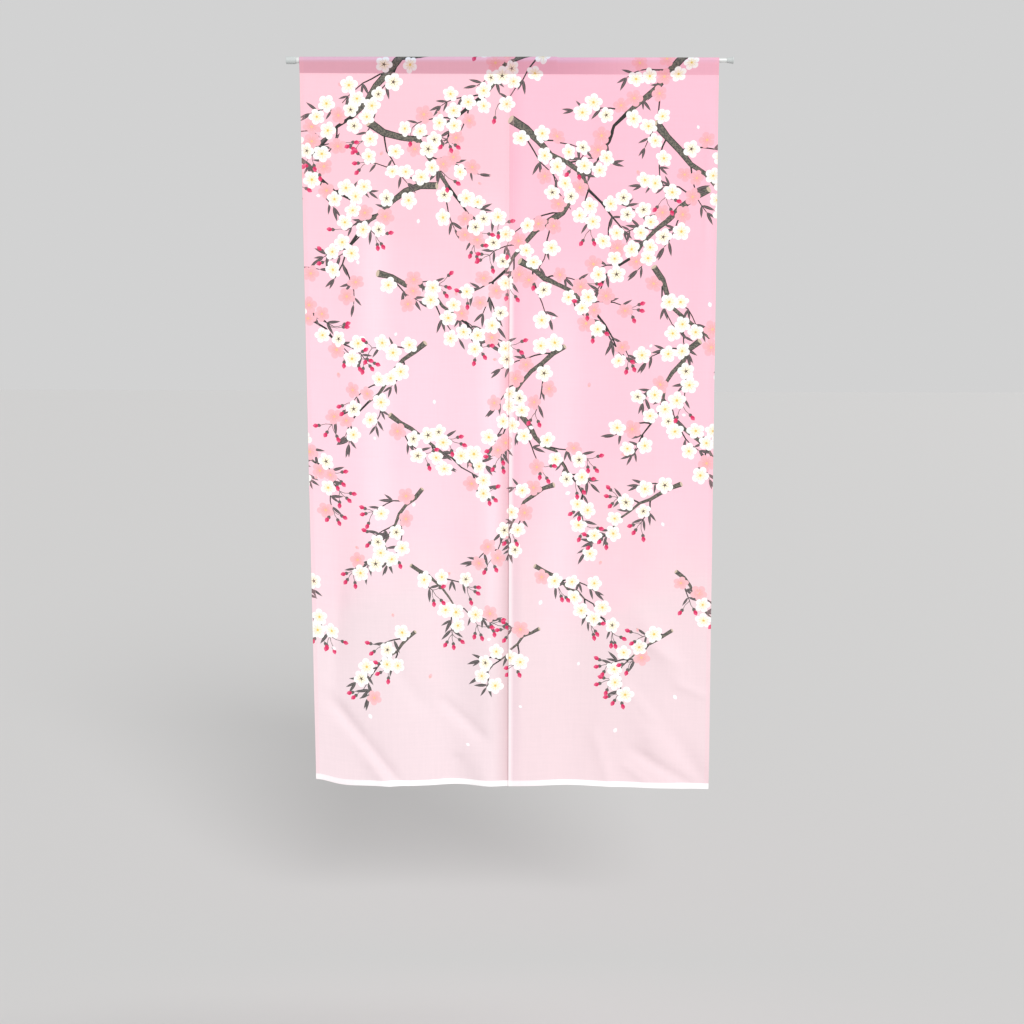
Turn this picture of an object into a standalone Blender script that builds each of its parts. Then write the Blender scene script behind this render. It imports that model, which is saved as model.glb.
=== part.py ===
"""A noren: a split curtain of two cloth panels, hung by its sleeve on a tension rod.

Metres, +Z up. X runs along the rod from its left foot, -Y is the front, and the origin is
the centre of the left foot's end face, by which the rod presses against what holds it.
"""

import math
from collections import namedtuple

import bmesh
import bpy
import numpy as np

# Driving sizes of the rod
ROD_LENGTH = 0.906
OUTER_TUBE_RADIUS = 0.0060
OUTER_TUBE_WALL = 0.0012
OUTER_TUBE_END = 0.546
INNER_TUBE_RADIUS = 0.0045
INNER_TUBE_WALL = 0.0009
INNER_TUBE_START = 0.300
TUBE_SIDES = 24

# Driving sizes of the two feet, whose plugs sit inside the tubes
LEFT_FOOT_RADIUS = 0.0076
LEFT_FOOT_LENGTH = 0.0205
LEFT_FOOT_SLOPE = 0.0030
RIGHT_FOOT_RADIUS = 0.0071
RIGHT_FOOT_NECK_RADIUS = 0.0052
RIGHT_FOOT_LENGTH = 0.0130
RIGHT_FOOT_FLANGE = 0.0030
FOOT_PLUG_LENGTH = 0.012
FOOT_EDGE = 0.0006

# Driving sizes of the curtain
CURTAIN_LEFT = 0.027
CURTAIN_WIDTH = 0.850
SEAM_FROM_LEFT = 0.427
DROP = 1.500
SEWN_DROP = 0.390
SLEEVE_DROP_LEFT = 0.033
SLEEVE_DROP_RIGHT = 0.037
CLOTH = 0.0010
HEM_CLOTH = 0.0016
BOTTOM_HEM = 0.013
SIDE_HEM = 0.009
HEM_STEP = 0.0015

# Clearances between pieces that touch on the real thing
TOUCHING = 0.0003
SLEEVE_SEAT = 0.0004

# The slope by which the sleeve comes down from the outer tube's end to the inner tube
STEP_OFF_START = OUTER_TUBE_END + TOUCHING
STEP_OFF_RUN = 0.008

# How quickly the slit's two edges part below the sewing, and how narrow their turn is
SLIT_PART_RUN = 0.060
SLIT_EDGE_POWER = 8

# Resolution of the cloth's solids
TAIL_ROWS = 27
ROW_CROWDING = 1.4
PANEL_COLUMNS = 20
SLEEVE_ARC_STEPS = 12
SLEEVE_STRAIGHT_STEPS = 2

# One soft fold: where it begins and ends down the panel (0 is the sleeve's stitching, 1 the
# hem), where it lies across the panel there, its half width as a share of the panel, and how
# far it stands towards the front in metres.
Fold = namedtuple("Fold", "begins ends across_top across_foot half_width forward")
LEFT_FOLDS = (
    Fold(0.10, 1.00, 0.34, 0.40, 0.17, 0.006),
    Fold(0.05, 1.00, 0.60, 0.71, 0.12, -0.011),
    Fold(0.22, 1.00, 0.86, 0.88, 0.07, 0.005),
    Fold(0.50, 0.98, 0.13, 0.10, 0.08, -0.008),
    Fold(0.83, 1.00, 0.00, 0.38, 0.05, 0.008),
    Fold(0.78, 1.00, 0.50, 0.86, 0.07, 0.005),
)
RIGHT_FOLDS = (
    Fold(0.00, 0.55, 0.40, 0.46, 0.12, -0.006),
    Fold(0.20, 1.00, 0.50, 0.28, 0.13, -0.009),
    Fold(0.05, 1.00, 0.68, 0.74, 0.12, 0.005),
    Fold(0.02, 0.60, 0.95, 0.92, 0.08, 0.004),
    Fold(0.45, 1.00, 0.98, 1.00, 0.10, 0.006),
    Fold(0.70, 0.90, 0.55, 0.95, 0.07, 0.005),
    Fold(0.82, 1.00, 0.44, 0.90, 0.06, 0.005),
    Fold(0.84, 1.00, 0.62, 1.00, 0.06, -0.005),
)

# One corner or stretch of the hem that hangs higher: where across the panel, its half width
# and how much higher.
Lift = namedtuple("Lift", "across half_width height")
LEFT_LIFTS = (Lift(0.00, 0.10, 0.013), Lift(0.70, 0.14, 0.002))
RIGHT_LIFTS = (Lift(0.30, 0.16, 0.002), Lift(1.00, 0.30, -0.003))

# Places worked out from the driving sizes
CURTAIN_RIGHT = CURTAIN_LEFT + CURTAIN_WIDTH
SEAM = CURTAIN_LEFT + SEAM_FROM_LEFT
CURTAIN_TOP = OUTER_TUBE_RADIUS + SLEEVE_SEAT + CLOTH
HEM_Z = CURTAIN_TOP - DROP

# One panel: its two upper corners, how far each lower corner hangs from plumb, the side that
# faces the slit (0 is its left edge, 1 its right), how far that edge laps past the slit at
# the hem, and how far it stands towards the front.
Panel = namedtuple("Panel", "name left right left_drift right_drift slit_side lap edge_forward folds lifts")
PANELS = (
    Panel(
        "panel_left", CURTAIN_LEFT, SEAM - TOUCHING / 2, 0.025, 0.0, 1.0, 0.012, -0.0070,
        LEFT_FOLDS, LEFT_LIFTS,
    ),
    Panel(
        "panel_right", SEAM + TOUCHING / 2, CURTAIN_RIGHT, 0.0, -0.005, 0.0, 0.0, 0.0025,
        RIGHT_FOLDS, RIGHT_LIFTS,
    ),
)

# Colours as linear values, with roughness and metallic
PINK_CLOTH = ((0.93, 0.60, 0.70, 1.0), 0.85, 0.0)
WHITE_LACQUER = ((0.78, 0.79, 0.78, 1.0), 0.35, 0.0)
GREY_RUBBER = ((0.62, 0.63, 0.62, 1.0), 0.60, 0.0)


def clear_scene():
    for obj in list(bpy.data.objects):
        bpy.data.objects.remove(obj, do_unlink=True)


def plain_material(name, look):
    colour, roughness, metallic = look
    material = bpy.data.materials.new(name)
    material.use_nodes = True
    shader = material.node_tree.nodes["Principled BSDF"]
    shader.inputs["Base Color"].default_value = colour
    shader.inputs["Roughness"].default_value = roughness
    shader.inputs["Metallic"].default_value = metallic
    return material


def add_object(name, bm, material):
    """Puts a finished bmesh into the scene as one object."""
    bmesh.ops.recalc_face_normals(bm, faces=bm.faces)
    mesh = bpy.data.meshes.new(name)
    bm.to_mesh(mesh)
    bm.free()
    mesh.materials.append(material)
    mesh.shade_smooth()
    mesh.set_sharp_from_angle(angle=math.radians(35))
    obj = bpy.data.objects.new(name, mesh)
    bpy.context.scene.collection.objects.link(obj)
    return obj


def turned_along_x(name, profile, material):
    """A closed solid turned round the rod's axis from (x, radius) corners, first to last."""
    bm = bmesh.new()
    corners = [bm.verts.new((x, 0.0, radius)) for x, radius in profile]
    edges = [bm.edges.new((a, b)) for a, b in zip(corners, corners[1:])]
    if profile[0][1] > 0.0:
        edges.append(bm.edges.new((corners[-1], corners[0])))
    bmesh.ops.spin(
        bm,
        geom=corners + edges,
        cent=(0.0, 0.0, 0.0),
        axis=(1.0, 0.0, 0.0),
        angle=math.tau,
        steps=TUBE_SIDES,
        use_merge=True,
    )
    bmesh.ops.remove_doubles(bm, verts=bm.verts, dist=TOUCHING / 100)
    return add_object(name, bm, material)


def tube_profile(start, end, radius, wall):
    return ((start, radius), (end, radius), (end, radius - wall), (start, radius - wall))


def left_foot_profile():
    """A long cap that slopes down to the outer tube, and a plug that fills the tube's end."""
    plug = OUTER_TUBE_RADIUS - OUTER_TUBE_WALL - TOUCHING
    return (
        (0.0, 0.0),
        (0.0, LEFT_FOOT_RADIUS - FOOT_EDGE),
        (FOOT_EDGE, LEFT_FOOT_RADIUS),
        (LEFT_FOOT_LENGTH - LEFT_FOOT_SLOPE, LEFT_FOOT_RADIUS),
        (LEFT_FOOT_LENGTH, OUTER_TUBE_RADIUS + TOUCHING),
        (LEFT_FOOT_LENGTH, plug),
        (LEFT_FOOT_LENGTH + FOOT_PLUG_LENGTH, plug),
        (LEFT_FOOT_LENGTH + FOOT_PLUG_LENGTH, 0.0),
    )


def right_foot_profile():
    """A bell that widens from the inner tube's end to its flange, with a plug in the tube."""
    plug = INNER_TUBE_RADIUS - INNER_TUBE_WALL - TOUCHING
    inner_end = ROD_LENGTH - RIGHT_FOOT_LENGTH
    return (
        (inner_end - FOOT_PLUG_LENGTH, 0.0),
        (inner_end - FOOT_PLUG_LENGTH, plug),
        (inner_end, plug),
        (inner_end, RIGHT_FOOT_NECK_RADIUS),
        (ROD_LENGTH - RIGHT_FOOT_FLANGE, RIGHT_FOOT_RADIUS - FOOT_EDGE),
        (ROD_LENGTH - RIGHT_FOOT_FLANGE + FOOT_EDGE, RIGHT_FOOT_RADIUS),
        (ROD_LENGTH - FOOT_EDGE, RIGHT_FOOT_RADIUS),
        (ROD_LENGTH, RIGHT_FOOT_RADIUS - FOOT_EDGE),
        (ROD_LENGTH, 0.0),
    )


def smooth_step(value):
    share = np.clip(value, 0.0, 1.0)
    return share * share * (3.0 - 2.0 * share)


def fold_depth(folds, across, down):
    """Metres towards the front: each fold is a bell across the cloth that swells down it."""
    total = np.zeros(np.broadcast(across, down).shape)
    for fold in folds:
        life = (down - fold.begins) / (fold.ends - fold.begins)
        middle = fold.across_top + (fold.across_foot - fold.across_top) * np.clip(life, 0.0, 1.0)
        bell = np.exp(-(((across - middle) / fold.half_width) ** 2))
        if fold.ends < 1.0:
            swell = np.sin(np.pi * np.clip(life, 0.0, 1.0)) ** 2
        else:
            swell = smooth_step(life)
        total = total + fold.forward * swell * bell
    return total


def hem_lift(lifts, across):
    """Metres by which the hem hangs higher there."""
    return sum(lift.height * np.exp(-(((across - lift.across) / lift.half_width) ** 2)) for lift in lifts)


def slit_share(down_metres):
    """0 along the sewn part, then 1 once the two free edges have parted."""
    return smooth_step((down_metres - SEWN_DROP) / SLIT_PART_RUN)


def lap_share(down_metres):
    """How much of the slit's lap is reached: none until the edges have parted, all at the hem."""
    begins = SEWN_DROP + SLIT_PART_RUN
    return np.clip((down_metres - begins) / (DROP - begins), 0.0, 1.0)


def stitch_height(panel, across):
    """z of the sleeve's stitching, which lies a little lower towards the right."""
    x = panel.left + (panel.right - panel.left) * across
    share = (x - CURTAIN_LEFT) / CURTAIN_WIDTH
    return CURTAIN_TOP - (SLEEVE_DROP_LEFT + (SLEEVE_DROP_RIGHT - SLEEVE_DROP_LEFT) * share)


def tail_place(panel, across, down):
    """x, y and z of the cloth's middle below the sleeve, as arrays.

    across runs 0 to 1 from the panel's left edge, down 0 to 1 from the stitching to the hem.
    """
    top = stitch_height(panel, across)
    foot = HEM_Z + hem_lift(panel.lifts, across)
    z = top + (foot - top) * down
    below_top = CURTAIN_TOP - z
    left_edge = panel.left + panel.left_drift * down
    right_edge = panel.right + panel.right_drift * down + panel.lap * lap_share(below_top)
    x = left_edge + (right_edge - left_edge) * across
    near_slit = (1.0 - np.abs(across - panel.slit_side)) ** SLIT_EDGE_POWER
    edge = panel.edge_forward * slit_share(below_top) * near_slit
    return x, -(fold_depth(panel.folds, across, down) + edge), z


def half_thickness(panel, across, down):
    """Half the cloth's thickness: doubled cloth at the side hems and the bottom hem."""
    from_side = np.minimum(across, 1.0 - across) * (panel.right - panel.left)
    from_foot = (1.0 - down) * DROP
    side = smooth_step((SIDE_HEM + HEM_STEP - from_side) / HEM_STEP)
    foot = smooth_step((BOTTOM_HEM + HEM_STEP - from_foot) / HEM_STEP)
    extra = np.maximum(side, foot) * smooth_step(down * DROP / SIDE_HEM)
    return (CLOTH + (HEM_CLOTH - CLOTH) * extra) / 2


def panel_columns(panel):
    """Places across the panel: the side hems' lines, even steps, and the rod's step."""
    width = panel.right - panel.left
    hem = SIDE_HEM / width
    step = (SIDE_HEM + HEM_STEP) / width
    inner = np.linspace(step, 1.0 - step, PANEL_COLUMNS)
    step_off = (np.array([STEP_OFF_START, STEP_OFF_START + STEP_OFF_RUN]) - panel.left) / width
    step_off = step_off[(step_off > 0.0) & (step_off < 1.0)]
    return np.sort(np.concatenate([[0.0, hem], inner, step_off, [1.0 - hem, 1.0]]))


def tail_rows():
    """Places down the tail, closer together towards the hem, with the bottom hem's upper line."""
    hem = BOTTOM_HEM / DROP
    step = (BOTTOM_HEM + HEM_STEP) / DROP
    above_hem = 1.0 - (1.0 - np.linspace(0.0, 1.0, TAIL_ROWS)) ** ROW_CROWDING
    return np.concatenate([above_hem * (1.0 - step), [1.0 - hem, 1.0]])


def rod_radius(x):
    """The radius under the sleeve, with a short slope where the cloth steps off the outer tube."""
    drop = smooth_step((x - STEP_OFF_START) / STEP_OFF_RUN)
    return OUTER_TUBE_RADIUS + (INNER_TUBE_RADIUS - OUTER_TUBE_RADIUS) * drop


def sleeve_section(radius, stitch_z):
    """The sleeve's outer and inner loops as (y, z) rows, from the front of its stitching, up
    and over the rod, and down the back. The inner loop starts and ends at one apex."""
    middle = radius + SLEEVE_SEAT + CLOTH / 2
    lean = math.asin(middle / abs(stitch_z))
    straight = abs(stitch_z) * math.cos(lean)
    runs = np.linspace(0.0, 1.0, SLEEVE_STRAIGHT_STEPS + 1)[1:-1] * straight
    front_normal = np.array([-math.cos(lean), -math.sin(lean)])
    slope = np.array([-math.sin(lean), math.cos(lean)])
    stitching = np.array([0.0, stitch_z])
    front = [(stitching + slope * run, front_normal) for run in runs]
    arc = []
    for angle in np.linspace(math.pi + lean, -lean, SLEEVE_ARC_STEPS + 1):
        normal = np.array([math.cos(angle), math.sin(angle)])
        arc.append((middle * normal, normal))
    mirror = np.array([-1.0, 1.0])
    back = [(point * mirror, normal * mirror) for point, normal in reversed(front)]
    line = front + arc + back
    outer = [point + normal * CLOTH / 2 for point, normal in line]
    inner = [point - normal * CLOTH / 2 for point, normal in line]
    apex = stitching + np.array([0.0, CLOTH / 2 / math.sin(lean)])
    return np.array(outer), np.array([apex] + inner)


def build_panel(panel, material):
    """One closed solid: the sleeve's ring and the tail below it, carried across the columns.

    In a section, the sleeve is a row of four-sided cells between its two loops, the tail a
    row of cells between front and back, and one triangle joins them at the stitching.
    """
    columns = panel_columns(panel)
    across, down = np.meshgrid(columns, tail_rows(), indexing="ij")
    x, y, z = tail_place(panel, across, down)
    half = half_thickness(panel, across, down)
    top_x = panel.left + (panel.right - panel.left) * columns

    bm = bmesh.new()
    fronts, backs, outers, inners = [], [], [], []
    for i in range(len(columns)):
        fronts.append([bm.verts.new(place) for place in zip(x[i], y[i] - half[i], z[i])])
        backs.append([bm.verts.new(place) for place in zip(x[i], y[i] + half[i], z[i])])
        outer, inner = sleeve_section(rod_radius(top_x[i]), stitch_height(panel, columns[i]))
        ring = [bm.verts.new((top_x[i], *place)) for place in outer]
        outers.append([fronts[i][0]] + ring + [backs[i][0]])
        inners.append([bm.verts.new((top_x[i], *place)) for place in inner])
        inners[i].append(inners[i][0])

    def skin(lines):
        """Joins each column's line of points to the next column's."""
        for line, after in zip(lines, lines[1:]):
            for j in range(len(line) - 1):
                bm.faces.new((line[j], line[j + 1], after[j + 1], after[j]))

    skin(fronts)
    skin(backs)
    skin(outers)
    skin(inners)
    skin([[front[-1], back[-1]] for front, back in zip(fronts, backs)])
    for i in (0, len(columns) - 1):
        for a, b in ((outers[i], inners[i]), (fronts[i], backs[i])):
            for j in range(len(a) - 1):
                bm.faces.new((a[j], a[j + 1], b[j + 1], b[j]))
        bm.faces.new((fronts[i][0], backs[i][0], inners[i][0]))
    return add_object(panel.name, bm, material)


def build_rod():
    lacquer = plain_material("white_lacquer", WHITE_LACQUER)
    rubber = plain_material("grey_rubber", GREY_RUBBER)
    outer_start = LEFT_FOOT_LENGTH + TOUCHING
    inner_end = ROD_LENGTH - RIGHT_FOOT_LENGTH - TOUCHING
    outer = tube_profile(outer_start, OUTER_TUBE_END, OUTER_TUBE_RADIUS, OUTER_TUBE_WALL)
    inner = tube_profile(INNER_TUBE_START, inner_end, INNER_TUBE_RADIUS, INNER_TUBE_WALL)
    turned_along_x("rod_outer_tube", outer, lacquer)
    turned_along_x("rod_inner_tube", inner, lacquer)
    turned_along_x("foot_left", left_foot_profile(), rubber)
    turned_along_x("foot_right", right_foot_profile(), rubber)


def build_curtain():
    cloth = plain_material("pink_cloth", PINK_CLOTH)
    for panel in PANELS:
        build_panel(panel, cloth)


clear_scene()
build_rod()
build_curtain()
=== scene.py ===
# %% [markdown]
# A noren is a short split curtain. This one is two panels of thin polyester, joined at the
# top and open below, with a sleeve along the top that hangs on a tension rod. The solids of
# the rod come with the frame and only get their finish here. The two cloth panels are made
# again as thin sheets, with the print laid into the mesh itself.

# %% Load the frame
import math
from collections import namedtuple

import bpy
import numpy as np
from mathutils import Matrix, Vector
from mathutils.geometry import delaunay_2d_cdt


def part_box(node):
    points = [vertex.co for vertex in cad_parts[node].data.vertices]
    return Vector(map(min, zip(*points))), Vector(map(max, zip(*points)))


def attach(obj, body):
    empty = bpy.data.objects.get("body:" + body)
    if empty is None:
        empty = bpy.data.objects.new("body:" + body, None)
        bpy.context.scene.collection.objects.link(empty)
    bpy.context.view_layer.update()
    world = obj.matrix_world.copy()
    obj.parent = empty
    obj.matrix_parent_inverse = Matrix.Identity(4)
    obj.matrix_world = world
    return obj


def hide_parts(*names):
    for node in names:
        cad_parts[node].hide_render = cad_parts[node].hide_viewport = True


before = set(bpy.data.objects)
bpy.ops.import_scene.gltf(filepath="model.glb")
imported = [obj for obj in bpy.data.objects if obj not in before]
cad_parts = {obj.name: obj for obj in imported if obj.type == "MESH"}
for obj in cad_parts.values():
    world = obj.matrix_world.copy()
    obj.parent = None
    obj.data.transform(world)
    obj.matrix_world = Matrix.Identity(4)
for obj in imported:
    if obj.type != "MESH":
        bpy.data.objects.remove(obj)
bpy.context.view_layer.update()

# %% [markdown]
# The photo looks at the curtain from straight in front, a little above its middle and tipped
# down by a few degrees, so that upright lines close in slightly towards the floor. Camera
# place, tilt and focal length were found by matching the rod's feet and the hem's corners.

# %% Camera
FRAME_PIXELS = 1024
SENSOR_MM = 36.0
CAMERA_PLACE = (0.5132, -3.600, -0.6471)
CAMERA_DOWN = math.radians(4.298)
CAMERA_TURN = math.radians(-0.836)
CAMERA_ROLL = math.radians(0.150)
FOCAL_PIXELS = 1748.3


def aim_camera():
    """Axes of the camera: forward from turn and tilt, then right and up rolled about it."""
    flat = math.cos(CAMERA_DOWN)
    forward = Vector((math.sin(CAMERA_TURN) * flat, math.cos(CAMERA_TURN) * flat, -math.sin(CAMERA_DOWN)))
    level = Vector((math.cos(CAMERA_TURN), -math.sin(CAMERA_TURN), 0.0))
    upward = level.cross(forward)
    right = level * math.cos(CAMERA_ROLL) + upward * math.sin(CAMERA_ROLL)
    up = upward * math.cos(CAMERA_ROLL) - level * math.sin(CAMERA_ROLL)
    return Matrix((right, up, -forward)).transposed().to_4x4()


camera = bpy.data.objects.new("camera", bpy.data.cameras.new("camera"))
camera.data.sensor_width = SENSOR_MM
camera.data.lens = FOCAL_PIXELS / FRAME_PIXELS * SENSOR_MM
camera.matrix_world = Matrix.Translation(CAMERA_PLACE) @ aim_camera()
bpy.context.scene.collection.objects.link(camera)
bpy.context.scene.camera = camera
print("lens", round(camera.data.lens, 2), "mm")

# %% [markdown]
# The stage is a wide pale floor, 1.86 m below the rod, and a pale world, both a little greyer
# than the hem so that its white stands out. The light is a soft sun from the front right, as
# the lit sides of the folds show. The more it came from the side, the harder they would look.
# It is bright enough to bleach the reds, so a shaded fold looks rosy and not grey. A weaker
# sun from behind keeps the back clear.

# %% Floor, world and lights
FLOOR_Z = -1.86
FLOOR_SIZE = 400.0
FLOOR_COLOUR = (0.635, 0.63, 0.625)
LIGHTING_WORLD = 0.56
SHOWN_WORLD = 0.645
Sun = namedtuple("Sun", "name comes_from strength spread_degrees")
SUNS = (
    Sun("soft_sun", (0.40, -1.50, 0.70), 1.94, 24.0),
    Sun("back_sun", (0.90, 1.00, 0.70), 1.1, 40.0),
)


def simple_material(name, colour, roughness):
    material = bpy.data.materials.new(name)
    material.use_nodes = True
    shader = material.node_tree.nodes["Principled BSDF"]
    shader.inputs["Base Color"].default_value = (*colour, 1.0)
    shader.inputs["Roughness"].default_value = roughness
    return material


def add_sun(row):
    light = bpy.data.lights.new(row.name, "SUN")
    light.energy = row.strength
    light.angle = math.radians(row.spread_degrees)
    sun = bpy.data.objects.new(row.name, light)
    sun.location = row.comes_from
    sun.rotation_euler = Vector(row.comes_from).to_track_quat("Z", "Y").to_euler()
    bpy.context.scene.collection.objects.link(sun)


def pale_world():
    """One strength lights the scene, a brighter one is what the camera sees behind it."""
    world = bpy.data.worlds.new("pale_world")
    world.use_nodes = True
    tree = world.node_tree
    lighting = tree.nodes["Background"]
    lighting.inputs["Color"].default_value = (1.0, 1.0, 1.0, 1.0)
    lighting.inputs["Strength"].default_value = LIGHTING_WORLD
    shown = tree.nodes.new("ShaderNodeBackground")
    shown.inputs["Color"].default_value = (1.0, 1.0, 1.0, 1.0)
    shown.inputs["Strength"].default_value = SHOWN_WORLD
    mix = tree.nodes.new("ShaderNodeMixShader")
    tree.links.new(tree.nodes.new("ShaderNodeLightPath").outputs["Is Camera Ray"], mix.inputs[0])
    tree.links.new(lighting.outputs[0], mix.inputs[1])
    tree.links.new(shown.outputs[0], mix.inputs[2])
    tree.links.new(mix.outputs[0], tree.nodes["World Output"].inputs[0])
    return world


half = FLOOR_SIZE / 2
floor_mesh = bpy.data.meshes.new("floor")
floor_mesh.from_pydata(
    [(-half, -half, FLOOR_Z), (half, -half, FLOOR_Z), (half, half, FLOOR_Z), (-half, half, FLOOR_Z)],
    [],
    [(0, 1, 2, 3)],
)
floor_mesh.materials.append(simple_material("pale_floor", FLOOR_COLOUR, 0.9))
floor = bpy.data.objects.new("floor", floor_mesh)
bpy.context.scene.collection.objects.link(floor)
bpy.context.scene.world = pale_world()
for row in SUNS:
    add_sun(row)
bpy.context.scene.view_settings.view_transform = "Standard"
print("lights", [row.name for row in SUNS])

# %% [markdown]
# Every finish below is a small net of shader nodes. These helpers keep each net short: they
# add a node with its settings, do one step of maths, mix two colours, or start a group with
# named sockets.

# %% Shader helpers


def srgb(red, green, blue):
    """Linear light from the 0 to 255 values that a colour picker shows."""
    value = np.array([red, green, blue]) / 255.0
    return tuple(np.where(value <= 0.04045, value / 12.92, ((value + 0.055) / 1.055) ** 2.4))


def add_node(tree, kind, values=None, **settings):
    """A node of a tree. values are numbers or sockets for its inputs, by name or number."""
    node = tree.nodes.new(kind)
    for key, value in settings.items():
        setattr(node, key, value)
    for key, value in (values or {}).items():
        if isinstance(value, bpy.types.NodeSocket):
            tree.links.new(value, node.inputs[key])
        else:
            node.inputs[key].default_value = value
    return node


def maths(tree, operation, first, second=0.0, third=0.0):
    """One number from up to three: sum, product, power and so on."""
    node = add_node(tree, "ShaderNodeMath", {0: first, 1: second, 2: third}, operation=operation)
    return node.outputs[0]


def times(tree, first, second):
    return maths(tree, "MULTIPLY", first, second)


def spread(tree, value, low, high, to_low=0.0, to_high=1.0):
    """A number moved from one span to another and kept inside it, with soft ends."""
    node = add_node(
        tree,
        "ShaderNodeMapRange",
        {0: value, 1: low, 2: high, 3: to_low, 4: to_high},
        interpolation_type="SMOOTHSTEP",
    )
    return node.outputs[0]


def fade(tree, value, low, high, share=1.0):
    """A share that falls from its full value at low to nothing at high, with soft ends."""
    return spread(tree, value, low, high, share, 0.0)


def noise(tree, place, scale, detail):
    """Clouds of noise about one half; a larger scale gives smaller clouds."""
    node = add_node(tree, "ShaderNodeTexNoise", {"Vector": place, "Scale": scale, "Detail": detail})
    return node.outputs[0]


def add_bump(tree, height, metres, strength):
    """Small bumps of so many metres on the tree's shader."""
    bump = add_node(tree, "ShaderNodeBump", {"Height": height, "Distance": metres, "Strength": strength})
    tree.links.new(bump.outputs[0], tree.nodes["Principled BSDF"].inputs["Normal"])


def scaled(tree, colour, factor):
    """A colour made lighter or darker by a factor."""
    node = add_node(tree, "ShaderNodeVectorMath", {0: colour, "Scale": factor}, operation="SCALE")
    return node.outputs[0]


def mixed(tree, share, first, second, blend="MIX"):
    """Two colours mixed by a share from 0 to 1."""
    node = add_node(tree, "ShaderNodeMix", data_type="RGBA", blend_type=blend)
    for socket, value in ((0, share), (6, first), (7, second)):
        if isinstance(value, bpy.types.NodeSocket):
            tree.links.new(value, node.inputs[socket])
        else:
            node.inputs[socket].default_value = value if socket == 0 else (*value, 1.0)
    return node.outputs[2]


def new_group(name, inputs, outputs):
    """A shader group with named sockets. inputs are (name, kind, value), outputs (name, kind)."""
    group = bpy.data.node_groups.new(name, "ShaderNodeTree")
    for label, kind, value in inputs:
        socket = group.interface.new_socket(label, in_out="INPUT", socket_type=kind)
        if value is not None:
            socket.default_value = value
    for label, kind in outputs:
        group.interface.new_socket(label, in_out="OUTPUT", socket_type=kind)
    return group, group.nodes.new("NodeGroupInput").outputs, group.nodes.new("NodeGroupOutput").inputs


def use_group(tree, group, values):
    return add_node(tree, "ShaderNodeGroup", values, node_tree=group).outputs


FLOAT, VECTOR = "NodeSocketFloat", "NodeSocketVector"
print("helpers ready")

# %% [markdown]
# The rod is thin steel tube under white lacquer, with soft grey feet that grip at its ends.
# Lacquer on such a tube has a faint orange-peel surface, a few rubbed spots and some dust,
# and rubber is matt with a cloudy tone. One group makes that unevenness for both.

# %% Handling marks, shared by the rod's finishes
Handled = namedtuple("Handled", "name colour roughness size tone_share rub_share bump_metres")
ALONG_THE_ROD = (0.35, 1.0, 1.0)
FINE_TO_CLOUDY = 14.0
RUBBED_FROM, RUBBED_FULLY = 0.56, 0.68
HANDLED_BUMP = 0.5
COAT_WEIGHT, COAT_ROUGHNESS = 0.35, 0.12
marks, given, out = new_group(
    "handling_marks",
    [("Size", FLOAT, 60.0), ("Tone", FLOAT, 0.08), ("Rub", FLOAT, 0.15)],
    [("Tone", FLOAT), ("Rub", FLOAT), ("Height", FLOAT)],
)
place = add_node(marks, "ShaderNodeTexCoord").outputs["Object"]
stretch = add_node(marks, "ShaderNodeMapping", {0: place, 3: ALONG_THE_ROD}).outputs[0]
cloudy = noise(marks, stretch, given["Size"], 5.0)
fine = noise(marks, place, times(marks, given["Size"], FINE_TO_CLOUDY), 2.0)
tone = maths(marks, "MULTIPLY_ADD", maths(marks, "SUBTRACT", cloudy, 0.5), given["Tone"], 1.0)
marks.links.new(tone, out["Tone"])
rub = times(marks, spread(marks, cloudy, RUBBED_FROM, RUBBED_FULLY), given["Rub"])
marks.links.new(rub, out["Rub"])
marks.links.new(fine, out["Height"])


def handled_material(row):
    """Plain paint or rubber: colour times the marks' tone, rougher where it is rubbed."""
    material = simple_material(row.name, row.colour, row.roughness)
    tree = material.node_tree
    shader = tree.nodes["Principled BSDF"]
    worn = use_group(tree, marks, {"Size": row.size, "Tone": row.tone_share, "Rub": row.rub_share})
    tree.links.new(scaled(tree, row.colour, worn["Tone"]), shader.inputs["Base Color"])
    tree.links.new(maths(tree, "ADD", worn["Rub"], row.roughness), shader.inputs["Roughness"])
    add_bump(tree, worn["Height"], row.bump_metres, HANDLED_BUMP)
    return material


LACQUER = Handled("white_lacquer", srgb(222, 225, 223), 0.30, 45.0, 0.10, 0.20, 0.00008)
RUBBER = Handled("grey_rubber", srgb(196, 201, 200), 0.62, 70.0, 0.18, 0.12, 0.00015)
lacquer = handled_material(LACQUER)
rubber = handled_material(RUBBER)
coated = lacquer.node_tree.nodes["Principled BSDF"].inputs
coated["Coat Weight"].default_value = COAT_WEIGHT
coated["Coat Roughness"].default_value = COAT_ROUGHNESS
for node, finish in (
    ("rod_outer_tube", lacquer),
    ("rod_inner_tube", lacquer),
    ("foot_left", rubber),
    ("foot_right", rubber),
):
    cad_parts[node].data.materials.clear()
    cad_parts[node].data.materials.append(finish)
print("rod finished")

# %% [markdown]
# Each panel is one long strip of cloth. Laid flat, a place on it is (a, b): a metres across
# from its left fold, b metres down from the line that lies on top of the rod. The strip goes
# over the rod and down the back as far as the sleeve's stitching, and its sides and foot are
# turned to the back as narrow hems. These sizes come from the frame where it has them.

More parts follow.
